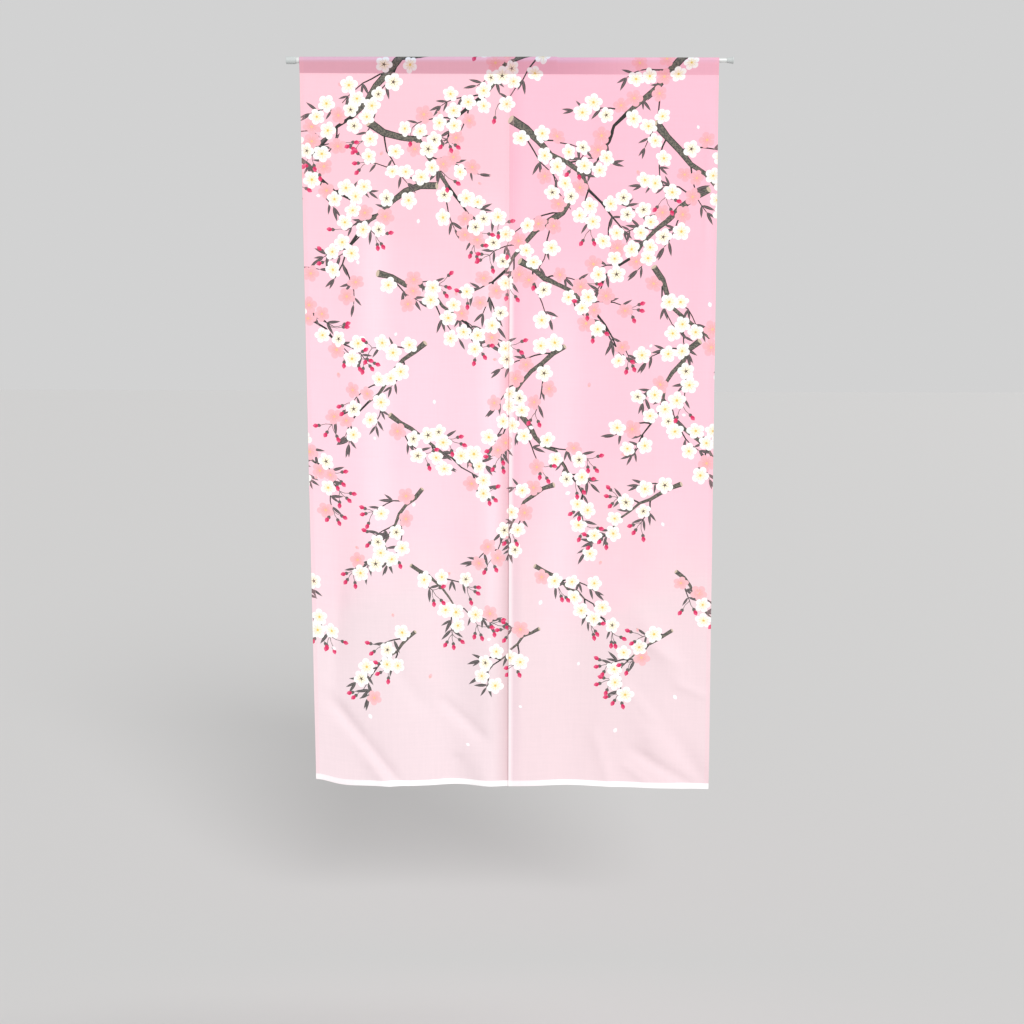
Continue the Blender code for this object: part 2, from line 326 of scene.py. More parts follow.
# %% Sizes of the strip
TOUCHING = 0.0003
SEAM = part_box("panel_right")[0].x - TOUCHING / 2
CURTAIN_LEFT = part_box("panel_left")[0].x
CURTAIN_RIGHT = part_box("panel_right")[1].x
CURTAIN_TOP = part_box("panel_left")[1].z
THICK_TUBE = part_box("rod_outer_tube")[1].z
THIN_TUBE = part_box("rod_inner_tube")[1].z
STEP_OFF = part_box("rod_outer_tube")[1].x + TOUCHING
STEP_OFF_RUN = 0.008
DROP = 1.500
SEWN_DROP = 0.390
SLIT_PART_RUN = 0.060
SLIT_EDGE_POWER = 8
STITCH_DROP_LEFT = 0.033
STITCH_DROP_RIGHT = 0.037
CLOTH = 0.00035
ROD_CLEARANCE = 0.0010
BACK_GAP = 0.0010
BACK_TAIL = 0.002
SIDE_FLAP = 0.009
SIDE_TURN = 0.00025
FOOT_FLAP = 0.013
FOOT_TURN = 0.0005
SIDE_REACH = SIDE_FLAP - math.pi * SIDE_TURN
FOOT_REACH = FOOT_FLAP - math.pi * FOOT_TURN
EDGE_INSET = SIDE_TURN + CLOTH / 2
HEM_Z = CURTAIN_TOP - DROP + FOOT_TURN + CLOTH / 2
STRIP_FOOT = 1.503
print("seam at", round(SEAM, 4), "curtain from", round(CURTAIN_LEFT, 4), "to", round(CURTAIN_RIGHT, 4))

# %% [markdown]
# The folds are the same as those of the solids: each is a bell across the cloth that swells
# down it, its places and ends as shares of the panel. The creases are narrower and belong to
# the thin sheet alone: soft ridges and troughs along a line, placed where the photo
# shows them, in metres across and down the whole curtain as it is before its sides drift.

# %% Folds, lifts and creases
Fold = namedtuple("Fold", "begins ends across_top across_foot half_width forward")
Lift = namedtuple("Lift", "across half_width height")
Crease = namedtuple("Crease", "x0 down0 x1 down1 half_width forward")
Panel = namedtuple(
    "Panel",
    "name node left right left_drift right_drift slit_side lap edge_forward folds lifts creases",
)
LEFT_FOLDS = (
    Fold(0.10, 1.00, 0.34, 0.40, 0.17, 0.006),
    Fold(0.05, 1.00, 0.60, 0.71, 0.12, -0.011),
    Fold(0.22, 1.00, 0.86, 0.88, 0.07, 0.005),
    Fold(0.50, 0.98, 0.13, 0.10, 0.08, -0.008),
    Fold(0.83, 1.00, 0.00, 0.38, 0.05, 0.008),
    Fold(0.78, 1.00, 0.50, 0.86, 0.07, 0.005),
)
RIGHT_FOLDS = (
    Fold(0.00, 0.55, 0.40, 0.46, 0.12, -0.006),
    Fold(0.20, 1.00, 0.50, 0.28, 0.13, -0.009),
    Fold(0.05, 1.00, 0.68, 0.74, 0.12, 0.005),
    Fold(0.02, 0.60, 0.95, 0.92, 0.08, 0.004),
    Fold(0.45, 1.00, 0.98, 1.00, 0.10, 0.006),
    Fold(0.70, 0.90, 0.55, 0.95, 0.07, 0.005),
    Fold(0.82, 1.00, 0.44, 0.90, 0.06, 0.005),
    Fold(0.84, 1.00, 0.62, 1.00, 0.06, -0.005),
)
LEFT_CREASES = (
    Crease(0.026, 1.303, 0.193, 1.517, 0.015, -0.0102),
    Crease(0.263, 1.309, 0.379, 1.412, 0.014, -0.0042),
    Crease(0.308, 1.430, 0.278, 1.500, 0.018, -0.0032),
    Crease(0.060, 1.050, 0.034, 1.330, 0.016, -0.0026),
    Crease(0.160, 1.230, 0.242, 1.345, 0.018, -0.0028),
    Crease(0.376, 0.700, 0.380, 1.300, 0.012, 0.0016),
    Crease(0.400, 0.480, 0.408, 1.480, 0.010, -0.0018),
    Crease(0.190, 0.420, 0.150, 0.860, 0.022, 0.0014),
    Crease(0.330, 0.120, 0.300, 0.420, 0.020, -0.0012),
)
RIGHT_CREASES = (
    Crease(0.690, 1.180, 0.795, 1.245, 0.012, 0.0020),
    Crease(0.664, 1.275, 0.745, 1.372, 0.013, 0.0024),
    Crease(0.770, 1.276, 0.850, 1.312, 0.010, 0.0018),
    Crease(0.674, 1.413, 0.849, 1.518, 0.014, -0.0054),
    Crease(0.729, 1.395, 0.836, 1.540, 0.016, -0.0028),
    Crease(0.662, 1.445, 0.735, 1.500, 0.010, 0.0018),
    Crease(0.606, 1.375, 0.648, 1.520, 0.014, 0.0028),
    Crease(0.836, 0.090, 0.828, 0.440, 0.010, 0.0018),
    Crease(0.590, 0.090, 0.600, 0.250, 0.022, -0.0018),
    Crease(0.455, 0.480, 0.452, 1.480, 0.010, 0.0012),
    Crease(0.720, 0.520, 0.745, 0.980, 0.020, 0.0012),
)
PANELS = (
    Panel(
        name="cloth_left",
        node="panel_left",
        left=CURTAIN_LEFT,
        right=SEAM - TOUCHING / 2,
        left_drift=0.025,
        right_drift=0.0,
        slit_side=1.0,
        lap=0.012,
        edge_forward=-0.0045,
        folds=LEFT_FOLDS,
        lifts=(Lift(0.00, 0.10, 0.013), Lift(0.70, 0.14, 0.002)),
        creases=LEFT_CREASES,
    ),
    Panel(
        name="cloth_right",
        node="panel_right",
        left=SEAM + TOUCHING / 2,
        right=CURTAIN_RIGHT,
        left_drift=0.0,
        right_drift=-0.005,
        slit_side=0.0,
        lap=0.0,
        edge_forward=0.0012,
        folds=RIGHT_FOLDS,
        lifts=(Lift(0.30, 0.16, 0.002), Lift(1.00, 0.30, -0.003)),
        creases=RIGHT_CREASES,
    ),
)
print("folds", len(LEFT_FOLDS) + len(RIGHT_FOLDS), "creases", len(LEFT_CREASES) + len(RIGHT_CREASES))

# %% [markdown]
# A smooth step from 0 to 1 is the tool for every soft start. The tail of the cloth, below the
# sleeve, is a flat sheet whose depth is the sum of its folds, its creases and a slight
# waviness. The edges at the slit part below the sewn stretch and lap a little at the hem.

# %% Shape of the tail
Wave = namedtuple("Wave", "across down start size")
WAVES = (
    Wave(9.0, 2.5, 0.3, 0.0007),
    Wave(-6.0, 5.0, 1.1, 0.0005),
    Wave(17.0, 3.5, 2.0, 0.00035),
    Wave(4.0, -9.0, 0.7, 0.0004),
)
CREASE_END_RUN = 0.3
CREASE_END_SHARE = 0.2
FINE_SHAPE_RUN = 0.05


def smooth_step(value):
    """0 below 0, 1 above 1 and three s squared less two s cubed between."""
    share = np.clip(value, 0.0, 1.0)
    return share * share * (3.0 - 2.0 * share)


def fold_depth(folds, across, down):
    """Metres towards the front: the sum over folds of forward times swell times a bell."""
    total = np.zeros_like(across)
    for fold in folds:
        life = (down - fold.begins) / (fold.ends - fold.begins)
        middle = fold.across_top + (fold.across_foot - fold.across_top) * np.clip(life, 0.0, 1.0)
        bell = np.exp(-(((across - middle) / fold.half_width) ** 2))
        fades = np.sin(np.pi * np.clip(life, 0.0, 1.0)) ** 2
        total += fold.forward * bell * (fades if fold.ends < 1.0 else smooth_step(life))
    return total


def crease_depth(creases, x, below):
    """Metres towards the front: a bell over the distance from each line, fading at its ends."""
    total = np.zeros_like(x)
    for crease in creases:
        run_x, run_down = crease.x1 - crease.x0, crease.down1 - crease.down0
        share = ((x - crease.x0) * run_x + (below - crease.down0) * run_down) / (run_x**2 + run_down**2)
        nearest = np.clip(share, 0.0, 1.0)
        gap_x = x - crease.x0 - run_x * nearest
        gap_down = below - crease.down0 - run_down * nearest
        bell = np.exp(-(gap_x**2 + gap_down**2) / crease.half_width**2)
        from_end = np.minimum(share, 1.0 - share)
        total += crease.forward * bell * smooth_step(from_end / CREASE_END_RUN + CREASE_END_SHARE)
    return total


def waviness(x, below):
    """Metres towards the front: slanting sine waves, across and down in half waves a metre."""
    return sum(
        wave.size * np.sin(math.pi * (x * wave.across + below * wave.down) + wave.start)
        for wave in WAVES
    )


def stitch_height(x):
    """z of the sleeve's stitching, a little lower towards the right."""
    share = (x - CURTAIN_LEFT) / (CURTAIN_RIGHT - CURTAIN_LEFT)
    return CURTAIN_TOP - (STITCH_DROP_LEFT + (STITCH_DROP_RIGHT - STITCH_DROP_LEFT) * share)


def tail_place(panel, across, down):
    """x, y and z below the sleeve; across and down run 0 to 1 over the panel's tail."""
    top_x = panel.left + (panel.right - panel.left) * across
    top = stitch_height(top_x)
    lift = sum(
        row.height * np.exp(-(((across - row.across) / row.half_width) ** 2)) for row in panel.lifts
    )
    z = top + (HEM_Z + lift - top) * down
    below = CURTAIN_TOP - z
    parted_at = SEWN_DROP + SLIT_PART_RUN
    lap = panel.lap * np.clip((below - parted_at) / (DROP - parted_at), 0.0, 1.0)
    left_edge = panel.left + panel.left_drift * down
    right_edge = panel.right + panel.right_drift * down + lap
    near_slit = np.maximum(1.0 - np.abs(across - panel.slit_side), 0.0) ** SLIT_EDGE_POWER
    depth = fold_depth(panel.folds, across, down)
    depth = depth + panel.edge_forward * smooth_step((below - SEWN_DROP) / SLIT_PART_RUN) * near_slit
    from_left = top_x - CURTAIN_LEFT
    fine = crease_depth(panel.creases, from_left, below) + waviness(from_left, below)
    depth = depth + fine * smooth_step(down / FINE_SHAPE_RUN)
    return left_edge + (right_edge - left_edge) * across, -depth, z


print("tail of", DROP, "m")

# %% [markdown]
# The sleeve is the same strip carried over the rod: an arc round the tube, then straight to
# the stitching, front and back alike. Where the thick tube ends, the cloth comes down to the
# thin one over a short slope. The hems turn a half circle and run back behind the cloth.

# %% Shape of the whole strip
DIFFERENCE = 0.0001


def rod_radius(x):
    """Tube radius under the sleeve, easing from the thick tube to the thin one."""
    return THICK_TUBE + (THIN_TUBE - THICK_TUBE) * smooth_step((x - STEP_OFF) / STEP_OFF_RUN)


def sleeve_measures(x):
    """Radius of the cloth's arc, its lean below the rod, length of the arc, and the length to
    the stitching, where a tangent from the arc meets the stitching's height."""
    radius = rod_radius(x) + ROD_CLEARANCE
    lean = np.arcsin(radius / np.abs(stitch_height(x)))
    arc = radius * (np.pi / 2 + lean)
    return radius, lean, arc, arc + np.abs(stitch_height(x)) * np.cos(lean)


def hung(panel, a, b):
    """Places (n, 3) of the cloth's middle for flat places between the side and foot folds."""
    top_x = panel.left + EDGE_INSET + a
    radius, lean, arc, reach = sleeve_measures(top_x)
    run = np.abs(b)
    turn = np.minimum(run, arc) / radius
    straight = np.clip(run - arc, 0.0, None)
    forward = radius * np.sin(turn) - straight * np.sin(lean)
    height = radius * np.cos(turn) - straight * np.cos(lean)
    across = (top_x - panel.left) / (panel.right - panel.left)
    x, y, z = tail_place(panel, across, np.clip((run - reach) / (STRIP_FOOT - reach), 0.0, None))
    below_sleeve = run > reach
    front_y = np.where(below_sleeve, y, -forward)
    back_y = np.where(below_sleeve, y, forward) + BACK_GAP * smooth_step(run / reach)
    x = np.where(below_sleeve, x, top_x)
    z = np.where(below_sleeve, z, height)
    return np.stack([x, np.where(b < 0.0, back_y, front_y), z], axis=-1)


def unit(vectors):
    return vectors / np.linalg.norm(vectors, axis=-1, keepdims=True)


def panel_width(panel):
    return panel.right - panel.left - 2 * EDGE_INSET


def cloth_frames(panel, a, b):
    """Place, right, down and back directions (n, 3) of any flat place, hems included.

    A hem turns by angle t on a small radius r: it moves r sin t outwards and r (1 - cos t)
    back, and then runs back along the cloth, so that its printed face shows behind.
    """
    width = panel_width(panel)
    side = np.where(a < width / 2, -1.0, 1.0)
    past_side = np.maximum(-a, a - width)
    past_foot = b - STRIP_FOOT
    side_turn = np.clip(past_side / SIDE_TURN, 0.0, np.pi)[:, None]
    foot_turn = np.clip(past_foot / FOOT_TURN, 0.0, np.pi)[:, None]
    a_on = np.clip(a, 0.0, width) - side * np.clip(past_side - np.pi * SIDE_TURN, 0.0, None)
    b_on = np.minimum(b, STRIP_FOOT) - np.clip(past_foot - np.pi * FOOT_TURN, 0.0, None)
    right = unit(hung(panel, a_on + DIFFERENCE, b_on) - hung(panel, a_on - DIFFERENCE, b_on))
    fall = unit(hung(panel, a_on, b_on + DIFFERENCE) - hung(panel, a_on, b_on - DIFFERENCE))
    back = unit(np.cross(right, fall))
    outward = right * side[:, None]
    place = hung(panel, a_on, b_on)
    place += SIDE_TURN * (outward * np.sin(side_turn) + back * (1.0 - np.cos(side_turn)))
    place += FOOT_TURN * (fall * np.sin(foot_turn) + back * (1.0 - np.cos(foot_turn)))
    facing = back * np.cos(side_turn) * np.cos(foot_turn)
    facing -= outward * np.sin(side_turn) + fall * np.sin(foot_turn)
    return place, right, fall, facing


for panel in PANELS:
    corner = hung(panel, np.array([0.0, panel_width(panel)]), np.array([STRIP_FOOT, STRIP_FOOT]))
    print(panel.name, "hem corners at x", np.round(corner[:, 0], 3), "z", np.round(corner[:, 2], 3))

# %% [markdown]
# The print is a common pattern for such cloth: cut sprigs of plum blossom strewn over it,
# close together at the top and sparse towards the hem. Everything is an outline on the flat
# cloth. Each kind of shape has its own place in the order of printing, lowest first.

# %% Shapes of the print
BOUGH, BARK, CUT, STALK, LEAF, CORAL, WHITE, SEPALS, CUP, BUD, PETAL = range(1, 12)
INKS = {
    BOUGH: (*srgb(44, 44, 42), 1.0),
    BARK: (*srgb(80, 80, 74), 1.0),
    CUT: (*srgb(206, 188, 166), 1.0),
    STALK: (*srgb(92, 88, 84), 0.95),
    LEAF: (*srgb(58, 57, 55), 0.95),
    CORAL: (*srgb(250, 168, 174), 0.55),
    WHITE: (*srgb(255, 254, 249), 1.0),
    SEPALS: (*srgb(66, 64, 62), 0.95),
    CUP: (*srgb(84, 84, 78), 0.95),
    BUD: (*srgb(214, 40, 94), 1.0),
    PETAL: (*srgb(255, 247, 250), 0.95),
}
Motif = namedtuple("Motif", "kind outline centre turn size squash")
PETALS, PETAL_STEPS, PETAL_RADIUS = 5, 6, 0.42
STAR_STEPS, SEPAL_WAIST, SEPAL_REACH = 20, 0.10, 0.30
DROP_STEPS, DROP_POWER = 6, 0.8
DISC_STEPS, DISC_SQUASH = 8, 0.45


def turned(points, turn):
    """Flat points turned about the origin by an angle."""
    cos, sin = math.cos(turn), math.sin(turn)
    return points @ np.array([[cos, sin], [-sin, cos]])


def placed(kind, shape, centre, turn, size, squash=1.0):
    """A shape of unit size, squashed along its second axis, turned and put on the cloth."""
    outline = np.asarray(centre) + turned(shape * np.array([size, size * squash]), turn)
    return Motif(kind, outline, tuple(centre), turn, size, squash)


def blossom_shape():
    """Five petals, each a circle of radius c whose middle lies at a distance d. The outline's
    radius is d cos p plus the root of c squared less d squared sin squared p, p being the angle
    from the middle of the nearest petal."""
    angle = np.arange(PETALS * PETAL_STEPS) * math.tau / (PETALS * PETAL_STEPS)
    from_middle = (angle + math.pi / PETALS) % (math.tau / PETALS) - math.pi / PETALS
    away = 1.0 - PETAL_RADIUS
    radius = away * np.cos(from_middle) + np.sqrt(PETAL_RADIUS**2 - (away * np.sin(from_middle)) ** 2)
    return np.stack([radius * np.cos(angle), radius * np.sin(angle)], axis=-1)


def star_shape():
    """Five thin sepals: the radius swings between a tip and a waist five times round."""
    angle = np.arange(STAR_STEPS) * math.tau / STAR_STEPS
    radius = SEPAL_WAIST + SEPAL_REACH * (0.5 + 0.5 * np.cos(PETALS * angle)) ** 3
    return np.stack([radius * np.cos(angle), radius * np.sin(angle)], axis=-1)


def drop_shape(blunt):
    """A closed drop from x = 0 to 1: half width is the sine of the way, to a power, thinner
    towards its tip for a low bluntness."""
    way = np.linspace(0.0, 1.0, DROP_STEPS)
    half_width = np.sin(np.pi * way) ** DROP_POWER * (1.0 - (1.0 - blunt) * way)
    upper = np.stack([way, -half_width], axis=-1)
    lower = np.stack([way, half_width], axis=-1)[-2:0:-1]
    return np.concatenate([upper, lower])


def ribbon(kind, path, radii):
    """An outline carried along a path: the path plus and minus its normal times the radii."""
    along = np.gradient(path, axis=0)
    normal = unit(np.stack([-along[:, 1], along[:, 0]], axis=-1)) * np.asarray(radii)[:, None]
    outline = np.concatenate([path + normal, (path - normal)[::-1]])
    return Motif(kind, outline, (0.0, 0.0), 0.0, 1.0, 1.0)


def disc_shape():
    """Eight points of a circle, drawn in along x."""
    angle = np.arange(DISC_STEPS) * math.tau / DISC_STEPS
    return np.stack([DISC_SQUASH * np.cos(angle), np.sin(angle)], axis=-1)


BLOSSOM = blossom_shape()
STAR = star_shape()
DISC = disc_shape()
BLADE = drop_shape(0.55) * np.array([1.0, 0.135])
ROUND_DROP = drop_shape(0.85) * np.array([1.0, 0.38])
print("points in a blossom", len(BLOSSOM))

# %% [markdown]
# A sprig is a crooked bough with a pale cut end that tapers to its tip, thin twigs that leave
# it on either side, and blossoms, buds and narrow leaves along them. The sprigs stand in a
# half drop: every second row is shifted by half a step and faces the other way. They are
# largest at the top and shrink down the cloth, which leaves the hem nearly bare. All wood and
# all blossoms come first, so that a bud or leaf can keep clear of every blossom.

# %% Wood of the sprigs
ROWS, COLUMNS = 9, 3
ROW_STEP = 0.146
FIRST_ROW = 0.060
COLUMN_STEP = 0.283
LONGEST, SHORTEST = 0.35, 0.17
THICKEST, THINNEST = 0.0115, 0.0038
FALL_DEGREES, FALL_SPREAD = 36.0, 12.0
BOUGH_BEND, BOUGH_KINK, BOUGH_STEPS = 0.42, 0.24, 9
TWIG_BEND, TWIG_KINK, TWIG_STEPS = 0.6, 0.13, 6
TWIG_LENGTHS = (0.26, 0.48)
TWIG_THICK, TWIG_THIN = 0.0018, 0.0008
JITTER = 0.015
BARK_LENGTH, BARK_WIDTH = 7, 0.78
Twig = namedtuple("Twig", "path radii blossoms")


def crooked_path(start, heading, length, bend, kink, steps, rng):
    """Points along a line whose heading drifts by bend over its length and jumps by kinks."""
    headings = heading + bend * np.linspace(0.0, 1.0, steps) + rng.normal(0.0, kink, steps)
    stride = np.stack([np.cos(headings), np.sin(headings)], axis=-1) * length / steps
    return np.concatenate([[start], start + np.cumsum(stride, axis=0)])


def heading_at(path, place):
    """Angle of the stretch that ends at a point of a path."""
    step = path[place] - path[place - 1]
    return math.atan2(step[1], step[0])


def sprig_of(start, facing, length, bough_radius, rng):
    """A bough and the twigs that leave it on either side in turn. facing is 1 to grow to the
    right and -1 to the left. A shorter sprig has fewer twigs and fewer blossoms on each."""
    fall = math.radians(FALL_DEGREES + rng.uniform(-FALL_SPREAD, FALL_SPREAD))
    heading = fall if facing > 0 else math.pi - fall
    path = crooked_path(start, heading, length, facing * BOUGH_BEND, BOUGH_KINK, BOUGH_STEPS, rng)
    taper = bough_radius * (1.0 - 0.86 * np.linspace(0.0, 1.0, len(path)) ** 0.8)
    taper *= 1.0 + rng.uniform(-0.12, 0.16, len(path))
    size = (length - SHORTEST) / (LONGEST - SHORTEST)
    sprig = [Twig(path, taper, round(3 + 5 * size))]
    side = 1
    for place in np.linspace(1, len(path) - 2, round(4 + 3 * size)).round().astype(int):
        away = heading_at(path, place) + side * rng.uniform(0.5, 1.05)
        reach = length * rng.uniform(*TWIG_LENGTHS) * (1.0 - 0.05 * place)
        twig = crooked_path(path[place], away, reach, -side * TWIG_BEND, TWIG_KINK, TWIG_STEPS, rng)
        thin = np.linspace(TWIG_THICK, TWIG_THIN, len(twig))
        sprig.append(Twig(twig, thin, round(1.7 + 2.3 * size)))
        side = -side
    return sprig


def half_drop(rng):
    """All sprigs, row by row: a list of twigs for each, the bough first."""
    sprigs = []
    for row in range(ROWS):
        share = row / (ROWS - 1)
        length = LONGEST + (SHORTEST - LONGEST) * share
        radius = THICKEST + (THINNEST - THICKEST) * share ** 0.5
        facing = 1 if row % 2 else -1
        for column in range(COLUMNS + row % 2):
            middle = (column + 0.5 * ((row + 1) % 2)) * COLUMN_STEP
            start = np.array([middle - facing * length * 0.42, FIRST_ROW + row * ROW_STEP - length * 0.25])
            start += rng.uniform(-JITTER, JITTER, 2)
            sprigs.append(sprig_of(start, facing, length, radius, rng))
    return sprigs


def wood_motifs(sprig):
    """The bough with its bark and the pale oval where it was cut, and the plain dark twigs."""
    path, radii, _ = sprig[0]
    return [
        ribbon(BOUGH, path, radii),
        ribbon(BARK, path[:BARK_LENGTH], radii[:BARK_LENGTH] * BARK_WIDTH),
        placed(CUT, DISC, path[0], heading_at(path, 1), radii[0]),
        *(ribbon(BOUGH, twig.path, twig.radii) for twig in sprig[1:]),
    ]


rng = np.random.default_rng(12)
sprigs = half_drop(rng)
motifs = [motif for sprig in sprigs for motif in wood_motifs(sprig)]
print("sprigs", len(sprigs), "twigs", sum(len(sprig) - 1 for sprig in sprigs))

# %% Blossoms, buds and leaves
CROWDED = 0.0218
COVERED = 0.0150
BLOSSOM_SIZES, BLOSSOM_SQUASH = (0.0164, 0.0198), (0.80, 1.0)
CORAL_SHARE, SEPALS_SHARE = 0.30, 0.20
STAND_OFF = (0.006, 0.015)
BUDS_SHARE, STALK_LENGTHS = 0.52, (0.014, 0.027)
STALK_RADII = (0.0008, 0.0006, 0.0006)
CUP_SIZE, BUD_SIZE, CUP_TO_BUD = 0.0105, 0.0125, 0.0030
LEAF_SIZES = (0.021, 0.032)
PETALS_ADRIFT, ADRIFT_SIZES, WHITE_ADRIFT = 50, (0.008, 0.012), 0.6
GOLDEN_STEP = 0.618
centres = []


def clear_of_blossoms(place, distance):
    return all(math.hypot(*(place - centre)) > distance for centre in centres)


def bud_with_cup(base, heading, reach):
    """A thin stalk, the cup at its end and the round bud in it, unless a blossom covers them."""
    way = np.array([math.cos(heading), math.sin(heading)])
    end = base + way * reach
    if not clear_of_blossoms(end + way * 0.004, COVERED):
        return []
    side = np.array([-way[1], way[0]])
    stem = np.stack([base, (base + end) / 2 + side * reach * 0.08, end])
    return [
        ribbon(STALK, stem, STALK_RADII),
        placed(CUP, ROUND_DROP, end - way * CUP_TO_BUD, heading, CUP_SIZE),
        placed(BUD, ROUND_DROP, end + way * CUP_TO_BUD, heading, BUD_SIZE),
    ]


def leaves_at(base, headings, rng):
    """Narrow leaves that part from one point, each only where no blossom covers its middle."""
    made = []
    for heading in headings:
        size = rng.uniform(*LEAF_SIZES)
        middle = base + np.array([math.cos(heading), math.sin(heading)]) * size / 2
        if clear_of_blossoms(middle, COVERED):
            made.append(placed(LEAF, BLADE, base, heading, size))
    return made


def blossom_at(centre, rng, coral):
    """One open blossom, turned anyhow and seen a little from the side; some show their back."""
    turn = rng.uniform(0.0, math.tau)
    size = rng.uniform(*BLOSSOM_SIZES)
    squash = rng.uniform(*BLOSSOM_SQUASH)
    made = [placed(CORAL if coral else WHITE, BLOSSOM, centre, turn, size, squash)]
    if not coral and rng.uniform() < SEPALS_SHARE:
        made.append(placed(SEPALS, STAR, centre, turn, size, squash))
    return made


def blossoms_along(twig, rng):
    """Blossoms beside a twig, left and right of it in turn, so that its wood stays in view. One
    that would crowd another is left out."""
    made = []
    steps = len(twig.path) - 1
    for number in range(twig.blossoms):
        share = (number + rng.uniform(0.3, 0.9)) / twig.blossoms
        place = min(int(share * steps), steps - 1)
        way = heading_at(twig.path, place + 1) + (-1) ** number * math.pi / 2
        stand_off = twig.radii[place] + rng.uniform(*STAND_OFF)
        along = twig.path[place] + (twig.path[place + 1] - twig.path[place]) * (share * steps - place)
        centre = along + np.array([math.cos(way), math.sin(way)]) * stand_off
        coral = rng.uniform() < CORAL_SHARE
        if clear_of_blossoms(centre, CROWDED):
            made += blossom_at(centre, rng, coral)
            centres.append(centre)
    return made


def growth_at_tip(twig, rng):
    """Three buds on stalks or none at a twig's tip, leaves before it and a pair half way."""
    last, half_way = len(twig.path) - 1, len(twig.path) // 2
    heading = heading_at(twig.path, last)
    made = []
    if rng.uniform() < BUDS_SHARE:
        for turn in (-0.8, 0.1, 0.9):
            reach = rng.uniform(*STALK_LENGTHS)
            made += bud_with_cup(twig.path[last], heading + turn + rng.uniform(-0.25, 0.25), reach)
    else:
        made += leaves_at(twig.path[last], heading + rng.uniform(-0.5, 0.5, 2), rng)
    made += leaves_at(twig.path[last - 1], heading + np.array([-1.0, 1.1]) * rng.uniform(0.5, 1.0), rng)
    side = rng.choice([-1.0, 1.0])
    made += leaves_at(twig.path[half_way], heading + side * np.array([0.6, 1.2]), rng)
    return made


def petals_adrift(rng):
    """Loose petals, strewn evenly by steps of the golden ratio across the cloth."""
    steps = np.arange(PETALS_ADRIFT)
    across = (steps * GOLDEN_STEP + 0.1) % 1.0 * (CURTAIN_RIGHT - CURTAIN_LEFT)
    down = 0.05 + (steps + 0.5) / PETALS_ADRIFT * (DROP - 0.12)
    turns = rng.uniform(0.0, math.tau, PETALS_ADRIFT)
    sizes = rng.uniform(*ADRIFT_SIZES, PETALS_ADRIFT)
    kinds = np.where(rng.uniform(size=PETALS_ADRIFT) < WHITE_ADRIFT, PETAL, CORAL)
    return [
        placed(int(kind), ROUND_DROP, (x, y), turn, size)
        for kind, x, y, turn, size in zip(kinds, across, down, turns, sizes)
    ]


for twig in (twig for sprig in sprigs for twig in sprig):
    motifs += blossoms_along(twig, rng)
for twig in (twig for sprig in sprigs for twig in sprig):
    motifs += growth_at_tip(twig, rng)
motifs += petals_adrift(rng)
motifs.sort(key=lambda motif: motif.kind)
print("shapes in the print", len(motifs), "blossoms", len(centres))

# %% [markdown]
# The print is laid into the cloth like inlay: every outline becomes an edge of the mesh. A
# Delaunay triangulation with fixed edges takes the grid of the cloth, the lines of its hems,
# lines along the narrow creases and all outlines at once. The topmost outline that holds the
# middle of a triangle gives it its ink, and its own coordinates, from which the finish draws
# petals and veins.

# %% Flat grid of a panel
GRID = 0.0095
TURN_STEPS = 4
ARC_STEPS = 7
STRAIGHT_STEPS = 4
CLOSE = 1e-6
FLAP_FIRST_ROW = 2
FLAP_ROWS_BELOW = TURN_STEPS + 4


def side_lines(panel):
    """Distances across: the flap, its turn, even steps, the step off the tube, and back."""
    width = panel_width(panel)
    turn = np.linspace(0.0, math.pi * SIDE_TURN, TURN_STEPS + 1)
    flap = np.concatenate([turn, [SIDE_FLAP / 2, SIDE_FLAP]])
    inner = np.linspace(SIDE_REACH, width - SIDE_REACH, round((width - 2 * SIDE_REACH) / GRID) + 1)
    step_off = STEP_OFF - panel.left + np.linspace(0.0, STEP_OFF_RUN, 5)
    step_off = step_off[(step_off > SIDE_REACH) & (step_off < width - SIDE_REACH)]
    return np.sort(np.concatenate([-flap, inner, step_off, width + flap]))


def down_lines(panel, a):
    """Flat places down the strip for each a: back edge, sleeve, tail, hem and foot flap."""
    top_x = panel.left + EDGE_INSET + a
    _, _, arc, reach = sleeve_measures(top_x)
    turn = np.linspace(0.0, math.pi * FOOT_TURN, TURN_STEPS + 1)[:, None]
    round_part = np.linspace(0.0, 1.0, ARC_STEPS + 1)[:, None] * arc
    straight_part = arc + np.linspace(0.0, 1.0, STRAIGHT_STEPS + 1)[1:, None] * (reach - arc)
    sleeve = np.concatenate([round_part, straight_part])
    hem_top = STRIP_FOOT - FOOT_REACH
    tail_steps = round((hem_top - reach.mean()) / GRID)
    tail = reach + np.linspace(0.0, 1.0, tail_steps + 1)[1:, None] * (hem_top - reach)
    flat = np.ones_like(a)
    foot = np.array([hem_top * 0.5 + STRIP_FOOT * 0.5, STRIP_FOOT - SIDE_TURN * 2])[:, None] * flat
    flap = (STRIP_FOOT + np.concatenate([turn, [[FOOT_FLAP / 2], [FOOT_FLAP]]])) * flat
    rows = [-(reach + BACK_TAIL)[None], -sleeve[:0:-1], sleeve, tail, foot, flap]
    return np.concatenate(rows)


def grid_of(panel):
    """Flat grid (rows, columns, 2) and a mask of places on cloth: the side hems begin a little
    below the back edge and end a little above the fold at the foot."""
    a = side_lines(panel)
    b = down_lines(panel, a)
    on_flap = (a < -CLOSE) | (a > panel_width(panel) + CLOSE)
    rows = np.arange(len(b))[:, None]
    flap_rows = (rows >= FLAP_FIRST_ROW) & (rows <= len(b) - FLAP_ROWS_BELOW)
    on_cloth = ~on_flap[None, :] | flap_rows
    return np.stack([np.broadcast_to(a, b.shape), b], axis=-1), on_cloth


